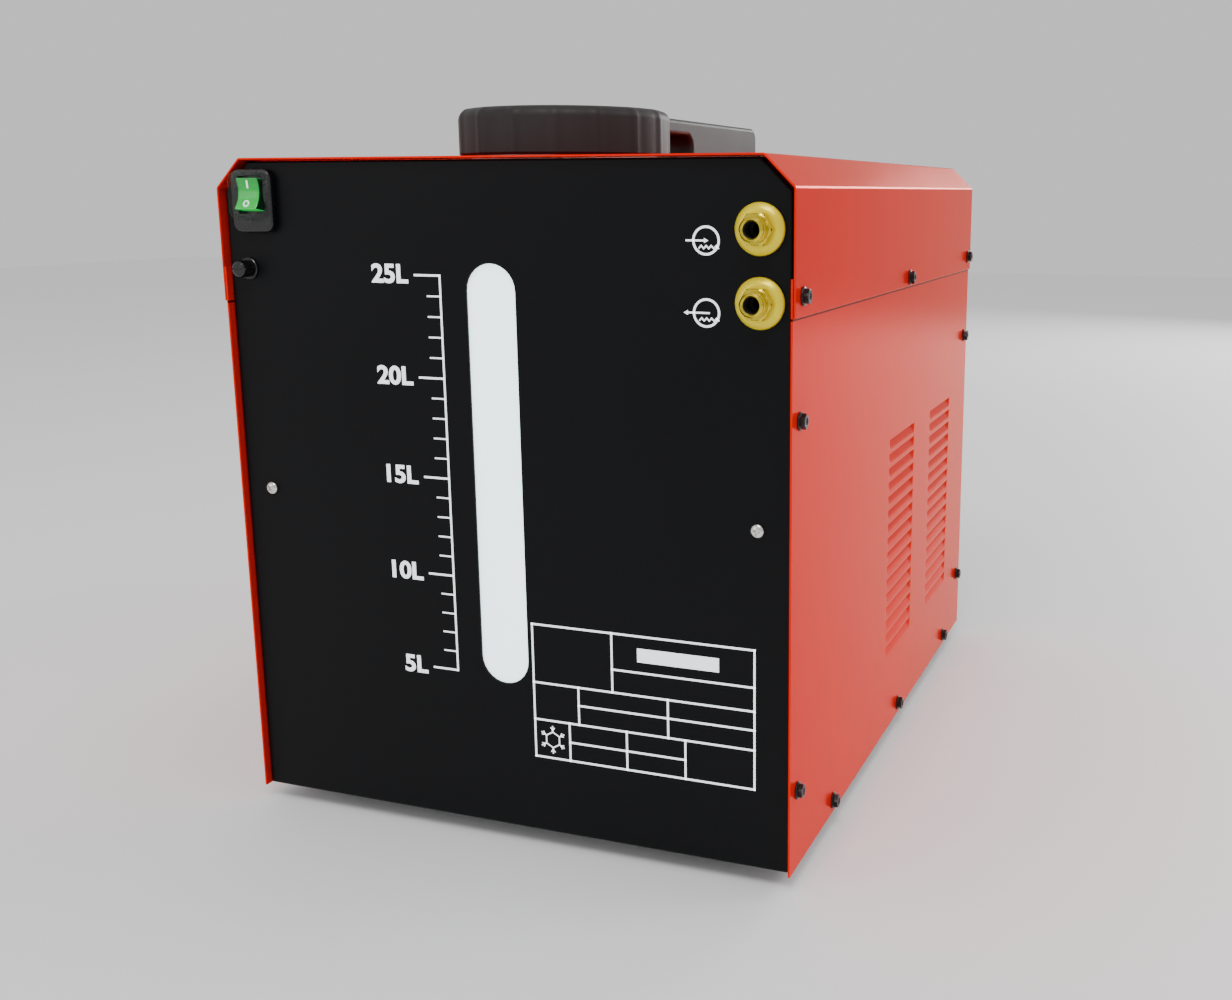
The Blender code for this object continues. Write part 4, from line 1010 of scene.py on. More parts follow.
class COOLER_OT_front_panel(bpy.types.Operator):
    """Make the black front panel with its window and its fittings' holes"""
    bl_idname = "cooler.front_panel"
    bl_label = "Front panel"

    def execute(self, context):
        prints = sizes("printing")
        made = end_panel("front_face", FACE_LOW, FACE_HIGH, FACE_LOW.y, 1)
        through = (FACE_LOW.y - 0.001, FACE_LOW.y + 0.004)
        window = pill(0, CASE_BOTTOM + prints.window_low, CASE_BOTTOM + prints.window_high,
                      prints.window_width)
        holes = [prism(window, "Y", *through)]
        for node, radius in (("fuse_holder", 0.0061), ("inlet_locknut", 0.0065),
                             ("outlet_locknut", 0.0065)):
            holes.append(round_hole(node, radius, 32, through))
        switch = middle("switch_body")
        half_w, half_h = 0.0120, 0.0153
        slot = box_outline((switch.x - half_w, switch.z - half_h), (switch.x + half_w, switch.z + half_h))
        holes.append(prism(slot, "Y", *through))
        cut(made, put_together(holes))
        round_edges(made, 0.00025, 2, 55)
        even_shading(made, 28)
        place_piece(made, "black_paint", "front_panel")
        return {"FINISHED"}


class COOLER_OT_rear_panel(bpy.types.Operator):
    """Make the black rear panel with the fan opening"""
    bl_idname = "cooler.rear_panel"
    bl_label = "Rear panel"

    def execute(self, context):
        made = end_panel("rear_face", REAR_LOW, REAR_HIGH, REAR_HIGH.y, -1)
        through = (REAR_HIGH.y - 0.004, REAR_HIGH.y + 0.001)
        cut(made, put_together([round_hole("fan_guard", 0.0965, 96, through),
                                round_hole("cord_gland", 0.0101, 32, through)]))
        round_edges(made, 0.00025, 2, 55)
        even_shading(made, 28)
        place_piece(made, "black_paint", "rear_panel")
        return {"FINISHED"}


# ---- Print ----

INK_THICKNESS = 0.00008


def printed(name, solids):
    """White print, a film on the front panel's face."""
    made = new_object(name, put_together(solids), finish("white_ink"))
    settle(made, 30)
    return place_piece(made, "white_plastic")


def ink(outline):
    return prism(outline, "Y", FACE_LOW.y - INK_THICKNESS, FACE_LOW.y + INK_THICKNESS)


def bar(x, z, wide, high):
    """A printed bar about a centre; z counts from the shell's lower edge."""
    z += CASE_BOTTOM
    return ink(box_outline((x - wide / 2, z - high / 2), (x + wide / 2, z + high / 2)))


def stroke(points, width):
    """A printed line through points, mitred, with square ends."""
    outer, inner = [], []
    for index, point in enumerate(points):
        here = Vector(point)
        before = (here - Vector(points[index - 1])).normalized() if index else None
        after = (Vector(points[index + 1]) - here).normalized() if index + 1 < len(points) else None
        run = ((before or after) + (after or before)).normalized()
        across = Vector((-run.y, run.x))
        stretch = 1 / max(0.4, (before or run).dot(run))
        outer.append(tuple(here + across * width / 2 * stretch))
        inner.append(tuple(here - across * width / 2 * stretch))
    return outer, inner


def line(points, width):
    """Ink along a line, as one quad for each stretch."""
    outer, inner = stroke([(x, z + CASE_BOTTOM) for x, z in points], width)
    solids = []
    for index in range(len(points) - 1):
        solids.append(ink([outer[index], outer[index + 1], inner[index + 1], inner[index]]))
    return solids


def ring(x, z, outer, inner):
    z += CASE_BOTTOM
    rings = []
    front, back = FACE_LOW.y - INK_THICKNESS, FACE_LOW.y + INK_THICKNESS
    for y, radius in ((front, outer), (front, inner), (back, inner), (back, outer)):
        rings.append([(u, y, v) for u, v in circle((x, z), radius, 48)])
    return loft(rings + rings[:1], ends=False)


class COOLER_OT_level_scale(bpy.types.Operator):
    """Print the litre scale beside the level window"""
    bl_idname = "cooler.level_scale"
    bl_label = "Litre scale"

    def execute(self, context):
        prints = sizes("printing")
        top = prints.scale_low + 4 * prints.scale_step
        middle_z = (prints.scale_low + top) / 2
        upright = bar(prints.scale_x, middle_z, prints.line, top - prints.scale_low + prints.line)
        made = new_object("scale_ticks", upright)
        half = prints.line / 2
        tick = new_object("tick", block((-0.5, -INK_THICKNESS, -half), (0.0, INK_THICKNESS, half)))
        tree = Repeat("scale_marks", Tick=tick, Marks=21, Step=prints.scale_step / 5, Edge=prints.scale_x,
                      Face=FACE_LOW.y, First=CASE_BOTTOM + prints.scale_low,
                      Long=0.0180 * 2, Short=0.0095 * 2, Material=finish("white_ink"))
        given = tree.inputs
        start = tree.vector(given["Edge"], given["Face"], given["First"])
        marks = tree.row(given["Marks"], start, tree.vector(z=given["Step"]))
        index = tree.node("GeometryNodeInputIndex")[0]
        in_five = index.maths("MODULO", index, 5.0)
        fifth = in_five.maths("COMPARE", in_five, 0.0, 0.1)
        reach = given["Short"] + (given["Long"] - given["Short"]) * fifth
        thick = 0.75 + 0.25 * fifth
        ticks = tree.copies(marks, tree.shape("Tick"), Scale=tree.vector(reach, 1.0, thick))
        tree.finish(tree.joined(given["Geometry"], ticks))
        tree.run_on(made)
        settle(made, 30)
        remove_tools(tick)
        place_piece(made, "white_plastic")
        for number in range(5):
            litres = 5 * (number + 1)
            numeral(f"{litres}L", prints.scale_x - 0.0225, prints.scale_low + number * prints.scale_step)
        return {"FINISHED"}


def numeral(text, right, z):
    """A litre number, its right end at x = right and its middle at z."""
    prints = sizes("printing")
    curve = bpy.data.curves.new("scale_" + text, "FONT")
    curve.body = text
    curve.align_x = "RIGHT"
    curve.align_y = "CENTER"
    curve.size = prints.numeral * 1.29
    curve.offset = prints.numeral * 0.042
    curve.extrude = INK_THICKNESS
    curve.resolution_u = 5
    typed = bpy.data.objects.new("scale_" + text, curve)
    bpy.context.scene.collection.objects.link(typed)
    depsgraph = bpy.context.evaluated_depsgraph_get()
    data = bpy.data.meshes.new_from_object(typed.evaluated_get(depsgraph))
    name = "scale_number_" + text
    bpy.data.objects.remove(typed)
    data.transform(Matrix.Translation((right, FACE_LOW.y, CASE_BOTTOM + z))
                   @ Matrix.Rotation(pi / 2, 4, "X") @ Matrix.Diagonal((1.11, 1, 1, 1)))
    data.materials.clear()
    data.materials.append(finish("white_ink"))
    made = bpy.data.objects.new(name, data)
    data.name = name
    bpy.context.scene.collection.objects.link(made)
    return place_piece(made, "white_plastic")


class COOLER_OT_data_grid(bpy.types.Operator):
    """Print the blank data grid and the two flow symbols"""
    bl_idname = "cooler.data_grid"
    bl_label = "Data grid and flow symbols"

    def execute(self, context):
        left, right = 0.020, 0.166
        low, high = 0.051, 0.138
        wide = right - left
        tall = high - low
        width = sizes("printing").line

        def across(depth, start, end):
            x = left + wide * (start + end) / 2
            return bar(x, high - tall * depth, wide * (end - start) + width, width)

        def upright(place, start, end):
            z = high - tall * (start + end) / 2
            return bar(left + wide * place, z, width, tall * (end - start) + width)

        rows = ((0, 0, 1), (0.265, 0.370, 1), (0.435, 0, 1), (0.571, 0.211, 1), (0.715, 0, 1),
                (0.860, 0.165, 0.697), (1, 0, 1))
        columns = ((0, 0, 1), (1, 0, 1), (0.370, 0, 0.435), (0.211, 0.435, 0.715), (0.621, 0.435, 0.715),
                   (0.165, 0.715, 1), (0.432, 0.715, 1), (0.697, 0.715, 1))
        printed("data_grid_rows", [across(*row) for row in rows])
        printed("data_grid_columns", [upright(*column) for column in columns])
        printed("data_grid_strip", [bar(left + wide * 0.667, high - tall * 0.137, wide * 0.362, 0.0088)])
        printed("cold_symbol", snowflake(left + wide * 0.083, high - tall * 0.860))
        for word, z, way in (("inlet", 0.3730, 1), ("outlet", 0.3330, -1)):
            printed(word + "_symbol", flow_symbol(0.1375, z, way))
        return {"FINISHED"}


def snowflake(x, z):
    """Six arms with barbs round a hexagon."""
    solids = []
    for arm in range(6):
        angle = pi / 2 + arm * pi / 3
        along = Vector((cos(angle), sin(angle)))
        after = Vector((cos(angle + pi / 3), sin(angle + pi / 3)))
        centre = Vector((x, z))
        solids += line([tuple(centre + along * 0.0052), tuple(centre + along * 0.0092)], 0.0008)
        solids += line([tuple(centre + along * 0.0052), tuple(centre + after * 0.0052)], 0.0008)
        root = centre + along * 0.0064
        for turn in (-0.7, 0.7):
            tip = root + Vector((cos(angle + turn), sin(angle + turn))) * 0.0022
            solids += line([tuple(root), tuple(tip)], 0.0007)
    return solids


def flow_symbol(x, z, way):
    """A circle with a water line and an arrow that runs in or out."""
    solids = [ring(x, z, 0.0082, 0.0069)]
    waves = []
    for step in range(9):
        waves.append((x - 0.0044 + 0.0015 * step, z - 0.0036 + (0.0008 if step % 2 else -0.0008)))
    solids += line(waves, 0.0008)
    start, end = (x - 0.0122, x - 0.0012) if way > 0 else (x + 0.0020, x - 0.0112)
    solids += line([(start, z), (end, z)], 0.0010)
    tip = end + way * 0.0026
    z += CASE_BOTTOM
    solids.append(ink([(tip, z), (end, z + 0.0014), (end, z - 0.0014)]))
    return solids


# ---- Filler cap and handle ----

class COOLER_OT_filler_cap(bpy.types.Operator):
    """Mould the ribbed filler cap"""
    bl_idname = "cooler.filler_cap"
    bl_label = "Filler cap"

    def execute(self, context):
        fittings = sizes("fittings")
        centre = middle("tank_cap")
        radius = (CAP_HIGH.x - CAP_LOW.x) / 2
        soft = fittings.cap_round
        rings = []
        inner = radius - 0.0078
        wall = [(inner, CAP_HIGH.z - 0.004), (inner, CAP_LOW.z), (radius - 0.0016, CAP_LOW.z),
                (radius, CAP_LOW.z + 0.0016), (radius, CAP_HIGH.z - soft)]
        wall += [(radius - soft + soft * cos(radians(a)), CAP_HIGH.z - soft + soft * sin(radians(a)))
                 for a in range(10, 91, 10)]
        dished = CAP_HIGH.z - 0.0008
        wall += [(radius * 0.80, CAP_HIGH.z), (radius * 0.78, dished), (radius * 0.3, dished)]
        steps = fittings.cap_ribs * 12
        for r, z in wall:
            ribbed = max(0.0, min(1.0, (r - inner) / 0.004))
            ring_points = []
            for step in range(steps):
                angle = 2 * pi * step / steps
                across = abs((step / 12 + 0.5) % 1 - 0.5)
                rib = 0.0 if across > 0.13 else (1 - across / 0.13) ** 0.5
                reach = r - 0.0011 * ribbed * (1 - rib)
                ring_points.append((centre.x + reach * cos(angle), centre.y + reach * sin(angle), z))
            rings.append(ring_points)
        made = new_object("cap_shell", loft(rings), finish("black_moulding"))
        settle(made, 36)
        place_piece(made, "black_moulding", "tank_cap", body="cap")
        return {"FINISHED"}


class COOLER_OT_handle(bpy.types.Operator):
    """Mould the carrying handle with its finger gap"""
    bl_idname = "cooler.handle"
    bl_label = "Carrying handle"

    def execute(self, context):
        front, rear = GRIP_LOW.y, GRIP_HIGH.y
        low, top = GRIP_LOW.z, GRIP_HIGH.z
        gap_front = front + 0.018
        gap_rear = gap_front + 0.088
        under = top - 0.0115
        outline = [(front, low)]
        outline += arc((front + 0.011, top - 0.011), 0.011, 180, 90, 10)
        outline += arc((rear - 0.009, top - 0.009), 0.009, 90, 0, 10)
        outline += [(rear, low), (gap_rear, low)]
        outline += arc((gap_rear - 0.009, under - 0.009), 0.009, 0, 90, 10)
        outline += arc((gap_front + 0.009, under - 0.009), 0.009, 90, 180, 10)
        outline += [(gap_front, low)]
        made = new_object("grip_handle", prism(outline, "X", GRIP_LOW.x, GRIP_HIGH.x),
                          finish("black_moulding"))
        round_edges(made, sizes("fittings").grip_round, 5, 50)
        even_shading(made, 30)
        place_piece(made, "black_moulding", "carry_handle")
        return {"FINISHED"}


# ---- Switch and fuse ----

ROCKER_AXIS_Y = -0.253


class COOLER_OT_switch(bpy.types.Operator):
    """Make the switch frame, the lit rocker with its marks and the clear boot"""
    bl_idname = "cooler.switch"
    bl_label = "Power switch"

    def execute(self, context):
        self.frame_piece()
        self.rocker()
        self.boot()
        return {"FINISHED"}

    def frame_piece(self):
        low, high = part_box("switch_body")
        back = FACE_LOW.y - 0.0003
        outline = rounded(box_outline((low.x, low.z), (high.x, high.z)), 0.006, 8)
        made = new_object("switch_frame", prism(outline, "Y", low.y, back), finish("smooth_black"))
        round_edges(made, 0.0014, 4, 60)
        settle(made, 40)
        pocket_low, pocket_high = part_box("switch_rocker")
        gap = 0.0014
        cut(made, block((pocket_low.x - gap, low.y - 0.01, pocket_low.z - gap),
                        (pocket_high.x + gap, low.y + 0.0042, pocket_high.z + gap)))
        even_shading(made, 28)
        place_piece(made, "black_moulding", "switch_body")

    def rocker(self):
        low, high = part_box("switch_rocker")
        pivot = Vector((middle("switch_boot").x, ROCKER_AXIS_Y, middle("switch_boot").z))
        half = 0.0096
        tilt = Matrix.Rotation(radians(-9), 4, "X")
        outline = [(0.004, -0.004), (0.0, -half), (-0.0092, -half)]
        outline += [(-0.0062 - 0.0030 * (step / 6 * 2 - 1) ** 2, half * (step / 6 * 2 - 1))
                    for step in range(1, 6)]
        outline += [(-0.0092, half), (0.0, half), (0.004, 0.004)]
        mesh = prism(outline, "X", low.x - pivot.x, high.x - pivot.x)
        made = new_object("lit_rocker", mesh, finish("green_lens"))
        made.data.transform(Matrix.Translation(pivot) @ tilt)
        round_edges(made, 0.0007, 3, 40)
        even_shading(made, 30)
        # The faces at the rocker's two ends take the darker lens_side finish, painted shade.
        made.data.materials.append(finish("lens_side"))
        for face in made.data.polygons:
            face.material_index = 1 if abs(face.normal.x) > 0.9 else 0
        place_piece(made, "green_lens", "switch_rocker", body="rocker")
        off = turned(box_outline((0.0014, -0.0001), (0.0022, 0.0001)), "Y", (0, 0, 0), 24)
        on = block((-0.0005, -0.0001, -0.0024), (0.0005, 0.0001, 0.0024))
        slope = radians(16)
        for mark, place, lean in ((off, (0, -0.0080, -0.0060), -slope), (on, (0, -0.0078, 0.0058), slope)):
            laid = Matrix.Translation(place) @ Matrix.Rotation(lean, 4, "X")
            bmesh.ops.transform(mark, matrix=laid, verts=mark.verts)
        marks = new_object("rocker_marks", put_together([off, on]), finish("white_ink"))
        marks.data.transform(Matrix.Translation(pivot) @ tilt)
        settle(marks, 30)
        place_piece(marks, "white_plastic", body="rocker")

    def boot(self):
        made = new_object("clear_cover", loft(self.boot_rings(0.0)), finish("clear_boot"))
        inner = self.boot_rings(0.0011)
        inner[0] = [(x, y + 0.001, z) for x, y, z in inner[0]]
        cut(made, loft(inner))
        settle(made, 60)
        place_piece(made, "clear_boot", "switch_boot")

    def boot_rings(self, inset):
        """Rings of the boot's skin from its rim forwards, moved inwards by an inset."""
        low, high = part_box("switch_boot")
        dome, corner = 0.0052, 0.0062
        places = [(0.0, high.y)]
        for angle in range(0, 91, 15):
            y = high.y - (high.y - low.y - inset) + dome * (1 - sin(radians(angle)))
            places.append((dome * (1 - cos(radians(angle))), y))
        rings = []
        for shrink, y in places:
            outline = rounded(box_outline((low.x + inset + shrink, low.z + inset + shrink),
                                          (high.x - inset - shrink, high.z - inset - shrink)),
                              max(0.0015, corner - shrink - inset), 6)
            rings.append([(x, y, z) for x, z in outline])
        return rings


class COOLER_OT_fuse(bpy.types.Operator):
    """Make the fuse holder's collar and its slotted knob"""
    bl_idname = "cooler.fuse"
    bl_label = "Fuse holder"

    def execute(self, context):
        low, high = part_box("fuse_holder")
        centre = middle("fuse_holder")
        rim = (high.x - low.x) / 2
        collar = [(0.0040, low.y), (rim - 0.0005, low.y), (rim, low.y + 0.0005), (rim, low.y + 0.0015),
                  (rim - 0.0012, low.y + 0.0015), (rim - 0.0012, high.y), (0.0040, high.y)]
        body = new_object("fuse_collar", turned(collar, "Y", (centre.x, 0, centre.z), 40),
                          finish("smooth_black"))
        settle(body, 40)
        place_piece(body, "black_moulding", "fuse_holder")
        low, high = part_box("fuse_cap")
        radius = (high.x - low.x) / 2
        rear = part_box("fuse_holder")[0].y - 0.0003
        rings = []
        for y, r, groove in ((high.y, 0.0034, 0), (rear, 0.0035, 0), (rear, radius, 0.0003),
                             (low.y + 0.0018, radius, 0.0003), (low.y + 0.0006, radius - 0.0005, 0),
                             (low.y, radius - 0.0014, 0)):
            rings.append(ring_about(centre, y, 72, lambda step, _: r - (groove if step % 3 == 0 else 0)))
        knob = new_object("fuse_knob", loft(rings), finish("smooth_black"))
        cut(knob, block((centre.x - 0.01, low.y - 0.001, centre.z - 0.0006),
                        (centre.x + 0.01, low.y + 0.0012, centre.z + 0.0006)))
        settle(knob, 30)
        place_piece(knob, "black_moulding", "fuse_cap", body="fuse_knob")
        return {"FINISHED"}


# ---- Hose couplings ----

class COOLER_OT_couplings(bpy.types.Operator):
    """Turn the two hose couplings and press their dished washers"""
    bl_idname = "cooler.couplings"
    bl_label = "Hose couplings"

    def execute(self, context):
        for word in ("inlet", "outlet"):
            self.coupling(word)
            self.washer(word)
        return {"FINISHED"}

    def coupling(self, word):
        low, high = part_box(word + "_coupling")
        centre = middle(word + "_locknut")
        tip = low.y
        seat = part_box(word + "_washer")[0].y - 0.0003
        barrel, socket, bore = 0.0069, 0.0047, 0.0032
        inside = [(bore, tip + 0.014), (socket - 0.0008, tip + 0.0135), (socket, tip + 0.013),
                  (socket, tip + 0.0008), (socket + 0.0007, tip)]
        outside = [(barrel - 0.0011, tip), (barrel, tip + 0.0011), (barrel, tip + 0.0036),
                   (barrel - 0.0004, tip + 0.0040), (barrel - 0.0004, tip + 0.0046),
                   (barrel, tip + 0.0050), (barrel, seat - 0.0050)]
        thread = [(0.0062, seat - 0.0044), (0.0062, seat + 0.018), (0.006, seat + 0.019),
                  (0.006, high.y), (bore, high.y)]
        solid = turned(inside + outside + thread, "Y", (centre.x, 0, centre.z), 64)
        made = new_object(word + "_barrel", solid, finish("brass"))
        settle(made, 40)
        # Black rubber over the socket's inner wall and floor: partly its seal, partly painted shade deep in
        # the hole.
        made.data.materials.append(finish("black_rubber"))
        for face in made.data.polygons:
            away = hypot(face.center.x - centre.x, face.center.z - centre.z)
            face.material_index = 1 if away < socket + 0.0001 and face.center.y > tip + 0.0015 else 0
        place_piece(made, "brass", word + "_coupling")
        nut = new_object(word + "_hexagon", hex_nut(centre, 0.0170, seat - 0.0055, seat, 0.0064),
                         finish("brass"))
        settle(nut, 25)
        place_piece(nut, "brass")

    def washer(self, word):
        low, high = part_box(word + "_washer")
        centre = middle(word + "_locknut")
        rim = (high.x - low.x) / 2
        thick = 0.0012
        front = []
        for step in range(13):
            share = step / 12
            radius = 0.0100 + (rim - 0.0100) * share
            dome = (high.y - low.y - thick) * share ** 1.7
            front.append((radius, low.y + dome))
        back = [(radius - 0.0004, min(y + thick, high.y)) for radius, y in reversed(front[:-1])]
        edge = [(rim - 0.0001, high.y - 0.0009), (rim - 0.0003, high.y - 0.0002), (rim - 0.0012, high.y)]
        hole = [(0.0066, low.y + thick), (0.0066, low.y + 0.0001), (0.0100, low.y)]
        solid = turned(hole[1:] + front[1:-1] + edge + back + hole[:1], "Y", (centre.x, 0, centre.z), 72)
        made = new_object(word + "_dish", solid, finish("yellow_zinc"))
        settle(made, 40)
        place_piece(made, "yellow_zinc", word + "_washer")


def hex_nut(centre, flats, front, rear, bore):
    """A hexagon along Y with its front corners chamfered round, and a bore."""
    corner = flats / sqrt(3)
    count = 48
    rings = []
    for y, limit in ((rear, corner), (front + 0.0012, corner), (front + 0.0005, corner * 0.955),
                     (front, flats / 2 * 0.97)):
        edge = ring_about(centre, y, count, lambda _, angle: min(hex_reach(flats, angle), limit), pi / 6)
        rings.append(edge)
    for y in (front, rear):
        rings.append(ring_about(centre, y, count, lambda *_: bore, pi / 6))
    return loft(rings + rings[:1], ends=False)


# ---- Screws ----

HEX_HEAD = 0.0040     # from a shell screw's seat to its top


class COOLER_OT_screws(bpy.types.Operator):
    """Fit the flanged hex screws and the two pan-head screws"""
    bl_idname = "cooler.screws"
    bl_label = "Screws"

    def execute(self, context):
        hexes = [name for name in sorted(frame["nodes"]) if name.startswith(("cover_screw", "panel_screw"))]
        places = []
        for name in hexes:
            low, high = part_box(name)
            side = 1 if low.x > 0 else -1
            seat = high.x - HEX_HEAD if side > 0 else low.x + HEX_HEAD
            places.append(((seat, (low.y + high.y) / 2, (low.z + high.z) / 2), (side, 0, 0)))
        low_z = CASE_BOTTOM + sizes("fittings").low_screw
        for along in (0.092, 0.272, 0.444):
            for side in (-1, 1):
                places.append(((side * (SIDE_HIGH.x + 0.0002), CASE_FRONT + along, low_z), (side, 0, 0)))
        self.fit("shell_screws", places, flanged_hex(), "black_screw", hexes)
        pans = ["front_screw_left", "front_screw_right"]
        places = [((middle(name).x, FACE_LOW.y - 0.0002, middle(name).z), (0, -1, 0)) for name in pans]
        self.fit("panel_screws", places, pan_head(), "bright_steel", pans)
        return {"FINISHED"}

    def fit(self, name, places, shape, slot, nodes):
        """Instance one screw on points, each turned outwards and by its own angle."""
        tool = new_object(name + "_shape", shape)
        tool.data.shade_smooth()
        tool.data.set_sharp_from_angle(angle=radians(26))
        points = bmesh.new()
        for place, _ in places:
            points.verts.new(place)
        made = new_object(name, points)
        outwards = made.data.attributes.new("outwards", "FLOAT_VECTOR", "POINT")
        for index, (_, way) in enumerate(places):
            outwards.data[index].vector = way
        tree = Repeat(name, Screw=tool, Seed=7, Turn=pi, Material=finish(slot))
        given = tree.inputs
        way = tree.node("GeometryNodeInputNamedAttribute", {"data_type": "FLOAT_VECTOR"}, {
            "Name": "outwards"})[0]
        aim = tree.node("FunctionNodeAlignRotationToVector", {"axis": "X"}, {"Vector": way})[0]
        spin = tree.node("FunctionNodeRandomValue", {"data_type": "FLOAT"}, {
            2: 0.0, 3: given["Turn"], "Seed": given["Seed"]})[1]
        turned_on = tree.node("FunctionNodeRotateRotation", {"rotation_space": "LOCAL"}, {
            0: aim, 1: tree.vector(spin)})[0]
        tree.finish(tree.copies(given["Geometry"], tree.shape("Screw"), Rotation=turned_on))
        tree.run_on(made)
        settle(made, None)
        made.data.set_sharp_from_angle(angle=radians(26))
        remove_tools(tool)
        place_piece(made, slot, *nodes)


def flanged_hex():
    """A flanged hex head along +X, its seat at the origin."""
    fittings = sizes("fittings")
    flange = fittings.screw_flange
    flats = fittings.screw_hex
    skirt = turned([(0.0, -0.004), (0.0024, -0.004), (0.0024, 0.0), (flange - 0.0002, 0.0),
                    (flange, 0.0003), (flange - 0.0002, 0.0008), (flats / 2 - 0.0004, 0.0015),
                    (0.0, 0.0015)], "X", (0, 0, 0), 32)
    rings = []
    middle_line = Vector((0, 0, 0))
    for x, limit in ((0.0008, 1.0), (0.0033, 1.0), (0.0037, 0.0043), (0.0039, 0.0036),
                     (0.0038, 0.0024), (0.0033, 0.0018), (0.0033, 0.0006)):
        flat = ring_about(middle_line, x, 36, lambda _, angle: min(hex_reach(flats, angle), limit))
        rings.append([(x, across, up) for across, _, up in flat])
    return put_together([skirt, loft(rings)])


def pan_head():
    """A pan head along +X with a cross recess, its seat at the origin."""
    rim = 0.0042
    profile = [(0.0, -0.004), (0.0024, -0.004), (0.0024, 0.0), (rim, 0.0), (rim, 0.0006)]
    profile += [(rim * cos(radians(a)), 0.0006 + 0.0021 * sin(radians(a))) for a in range(10, 90, 10)]
    profile.append((0.0, 0.0027))
    made = new_object("pan_head", turned(profile, "X", (0, 0, 0), 40))
    arm, wide = 0.0021, 0.00055
    cross = [(arm, wide), (wide, wide), (wide, arm), (-wide, arm), (-wide, wide), (-arm, wide),
             (-arm, -wide), (-wide, -wide), (-wide, -arm), (wide, -arm), (wide, -wide), (arm, -wide)]
    cut(made, prism(cross, "X", 0.0010, 0.004))
    mesh = bmesh.new()
    mesh.from_mesh(made.data)
    remove_tools(made)
    return mesh


# ---- Rear: guard, fan, radiator ----

class COOLER_OT_fan(bpy.types.Operator):
    """Wind the wire guard, and mould the fan and the radiator behind it"""
    bl_idname = "cooler.fan"
    bl_label = "Fan, guard and radiator"

    def execute(self, context):
        self.guard()
        self.rotor()
        self.core()
        return {"FINISHED"}

    def guard(self):
        centre = middle("fan_guard")
        outer = (GUARD_HIGH.x - GUARD_LOW.x) / 2
        wire = (GUARD_HIGH.y - GUARD_LOW.y) / 2
        plate = turned([(0.0, centre.y - wire), (0.0182, centre.y - wire), (0.0190, centre.y),
                        (0.0182, centre.y + wire), (0.0, centre.y + wire)],
                       "Y", (centre.x, 0, centre.z), 48)
        spokes = [plate]
        for quarter in range(4):
            angle = pi / 4 + quarter * pi / 2
            way = Vector((cos(angle), 0, sin(angle)))
            spokes.append(rod(centre + way * 0.016, centre + way * (outer - wire), wire * 0.8))
        made = new_object("guard_wires", put_together(spokes))
        tree = Repeat("guard_rings", Rings=9, Inner=0.0255, Outer=outer - wire, Wire=wire * 0.78,
                      Material=finish("black_paint"))
        given = tree.inputs
        middles = tree.row(given["Rings"], tuple(centre), (0, 0, 0))
        index = tree.node("GeometryNodeInputIndex")[0]
        grow = given["Inner"] + (given["Outer"] - given["Inner"]) * index / (given["Rings"] - 1.0)
        round_wire = tree.node("GeometryNodeCurvePrimitiveCircle", {"mode": "RADIUS"}, {
            "Resolution": 72, "Radius": 1.0})[0]
        rings = tree.copies(middles, round_wire, Rotation=(pi / 2, 0, 0), Scale=grow)
        real = tree.node("GeometryNodeRealizeInstances", None, {0: rings})[0]
        section = tree.node("GeometryNodeCurvePrimitiveCircle", {"mode": "RADIUS"}, {
            "Resolution": 8, "Radius": given["Wire"]})[0]
        swept = tree.node("GeometryNodeCurveToMesh", None, {"Curve": real, "Profile Curve": section})[0]
        tree.finish(tree.joined(given["Geometry"], swept))
        tree.run_on(made)
        settle(made, 50)
        place_piece(made, "black_paint", "fan_guard")

    def rotor(self):
        low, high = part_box("fan_rotor")
        centre = Vector((0, (low.y + high.y) / 2, middle("fan_guard").z))
        hub = 0.038
        start, end = centre.y - 0.013, centre.y + 0.013
        bore = 0.0046
        profile = [(bore, start), (hub, start), (hub, end - 0.003), (hub - 0.001, end - 0.001),
                   (hub - 0.003, end), (0.014, end), (0.012, end - 0.001), (bore, end - 0.001)]
        solids = [turned(profile, "Y", (centre.x, 0, centre.z), 64)]
        solids += [fan_blade(centre, hub, 0.0925, 2 * pi * number / 7) for number in range(7)]
        made = new_object("fan_blades", put_together(solids), finish("smooth_black"))
        settle(made, 40)
        place_piece(made, "black_moulding", "fan_rotor", body="fan")

    def core(self):
        low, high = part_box("radiator")
        half = high.x
        deep = high.y - 0.0423
        tanks = []
        for side in (-1, 1):
            inner, outer = sorted((side * (half - 0.018), side * half))
            tanks.append(block((inner, deep, low.z + 0.002), (outer, high.y - 0.0003, high.z - 0.002)))
        spigot = box_outline((0.0042, low.y), (0.006, deep + 0.001))
        for x, z in ((0.090, high.z - 0.020), (-0.090, low.z + 0.020)):
            tanks.append(turned(spigot, "Y", (x, 0, z), 24))
        made = new_object("radiator_core", put_together(tanks))
        fin = new_object("fin", block((-0.0001, deep + 0.005, low.z + 0.001),
                                      (0.0001, high.y - 0.005, high.z - 0.001)))
        pipe = new_object("pipe", block((-half + 0.017, deep + 0.0045, -0.0010),
                                        (half - 0.017, high.y - 0.0045, 0.0010)))
        tree = Repeat("radiator_fins", Fin=fin, Pipe=pipe, Fins=86, Pipes=19, Width=half - 0.019,
                      Base=low.z + 0.006, Rise=(high.z - low.z - 0.012) / 18,
                      Material=finish("core_aluminium"))
        given = tree.inputs
        stacks = [given["Geometry"]]
        gap = given["Width"] * 2.0 / (given["Fins"] - 1.0)
        for key, start, step in (("Fin", tree.vector(x=0.0 - given["Width"]), tree.vector(x=gap)),
                                 ("Pipe", tree.vector(z=given["Base"]), tree.vector(z=given["Rise"]))):
            places = tree.row(given[key + "s"], start, step)
            stacks.append(tree.copies(places, tree.shape(key)))
        tree.finish(tree.joined(*stacks))
        tree.run_on(made)
        settle(made, 30)
        remove_tools(fin, pipe)
        place_piece(made, "core_aluminium", "radiator")


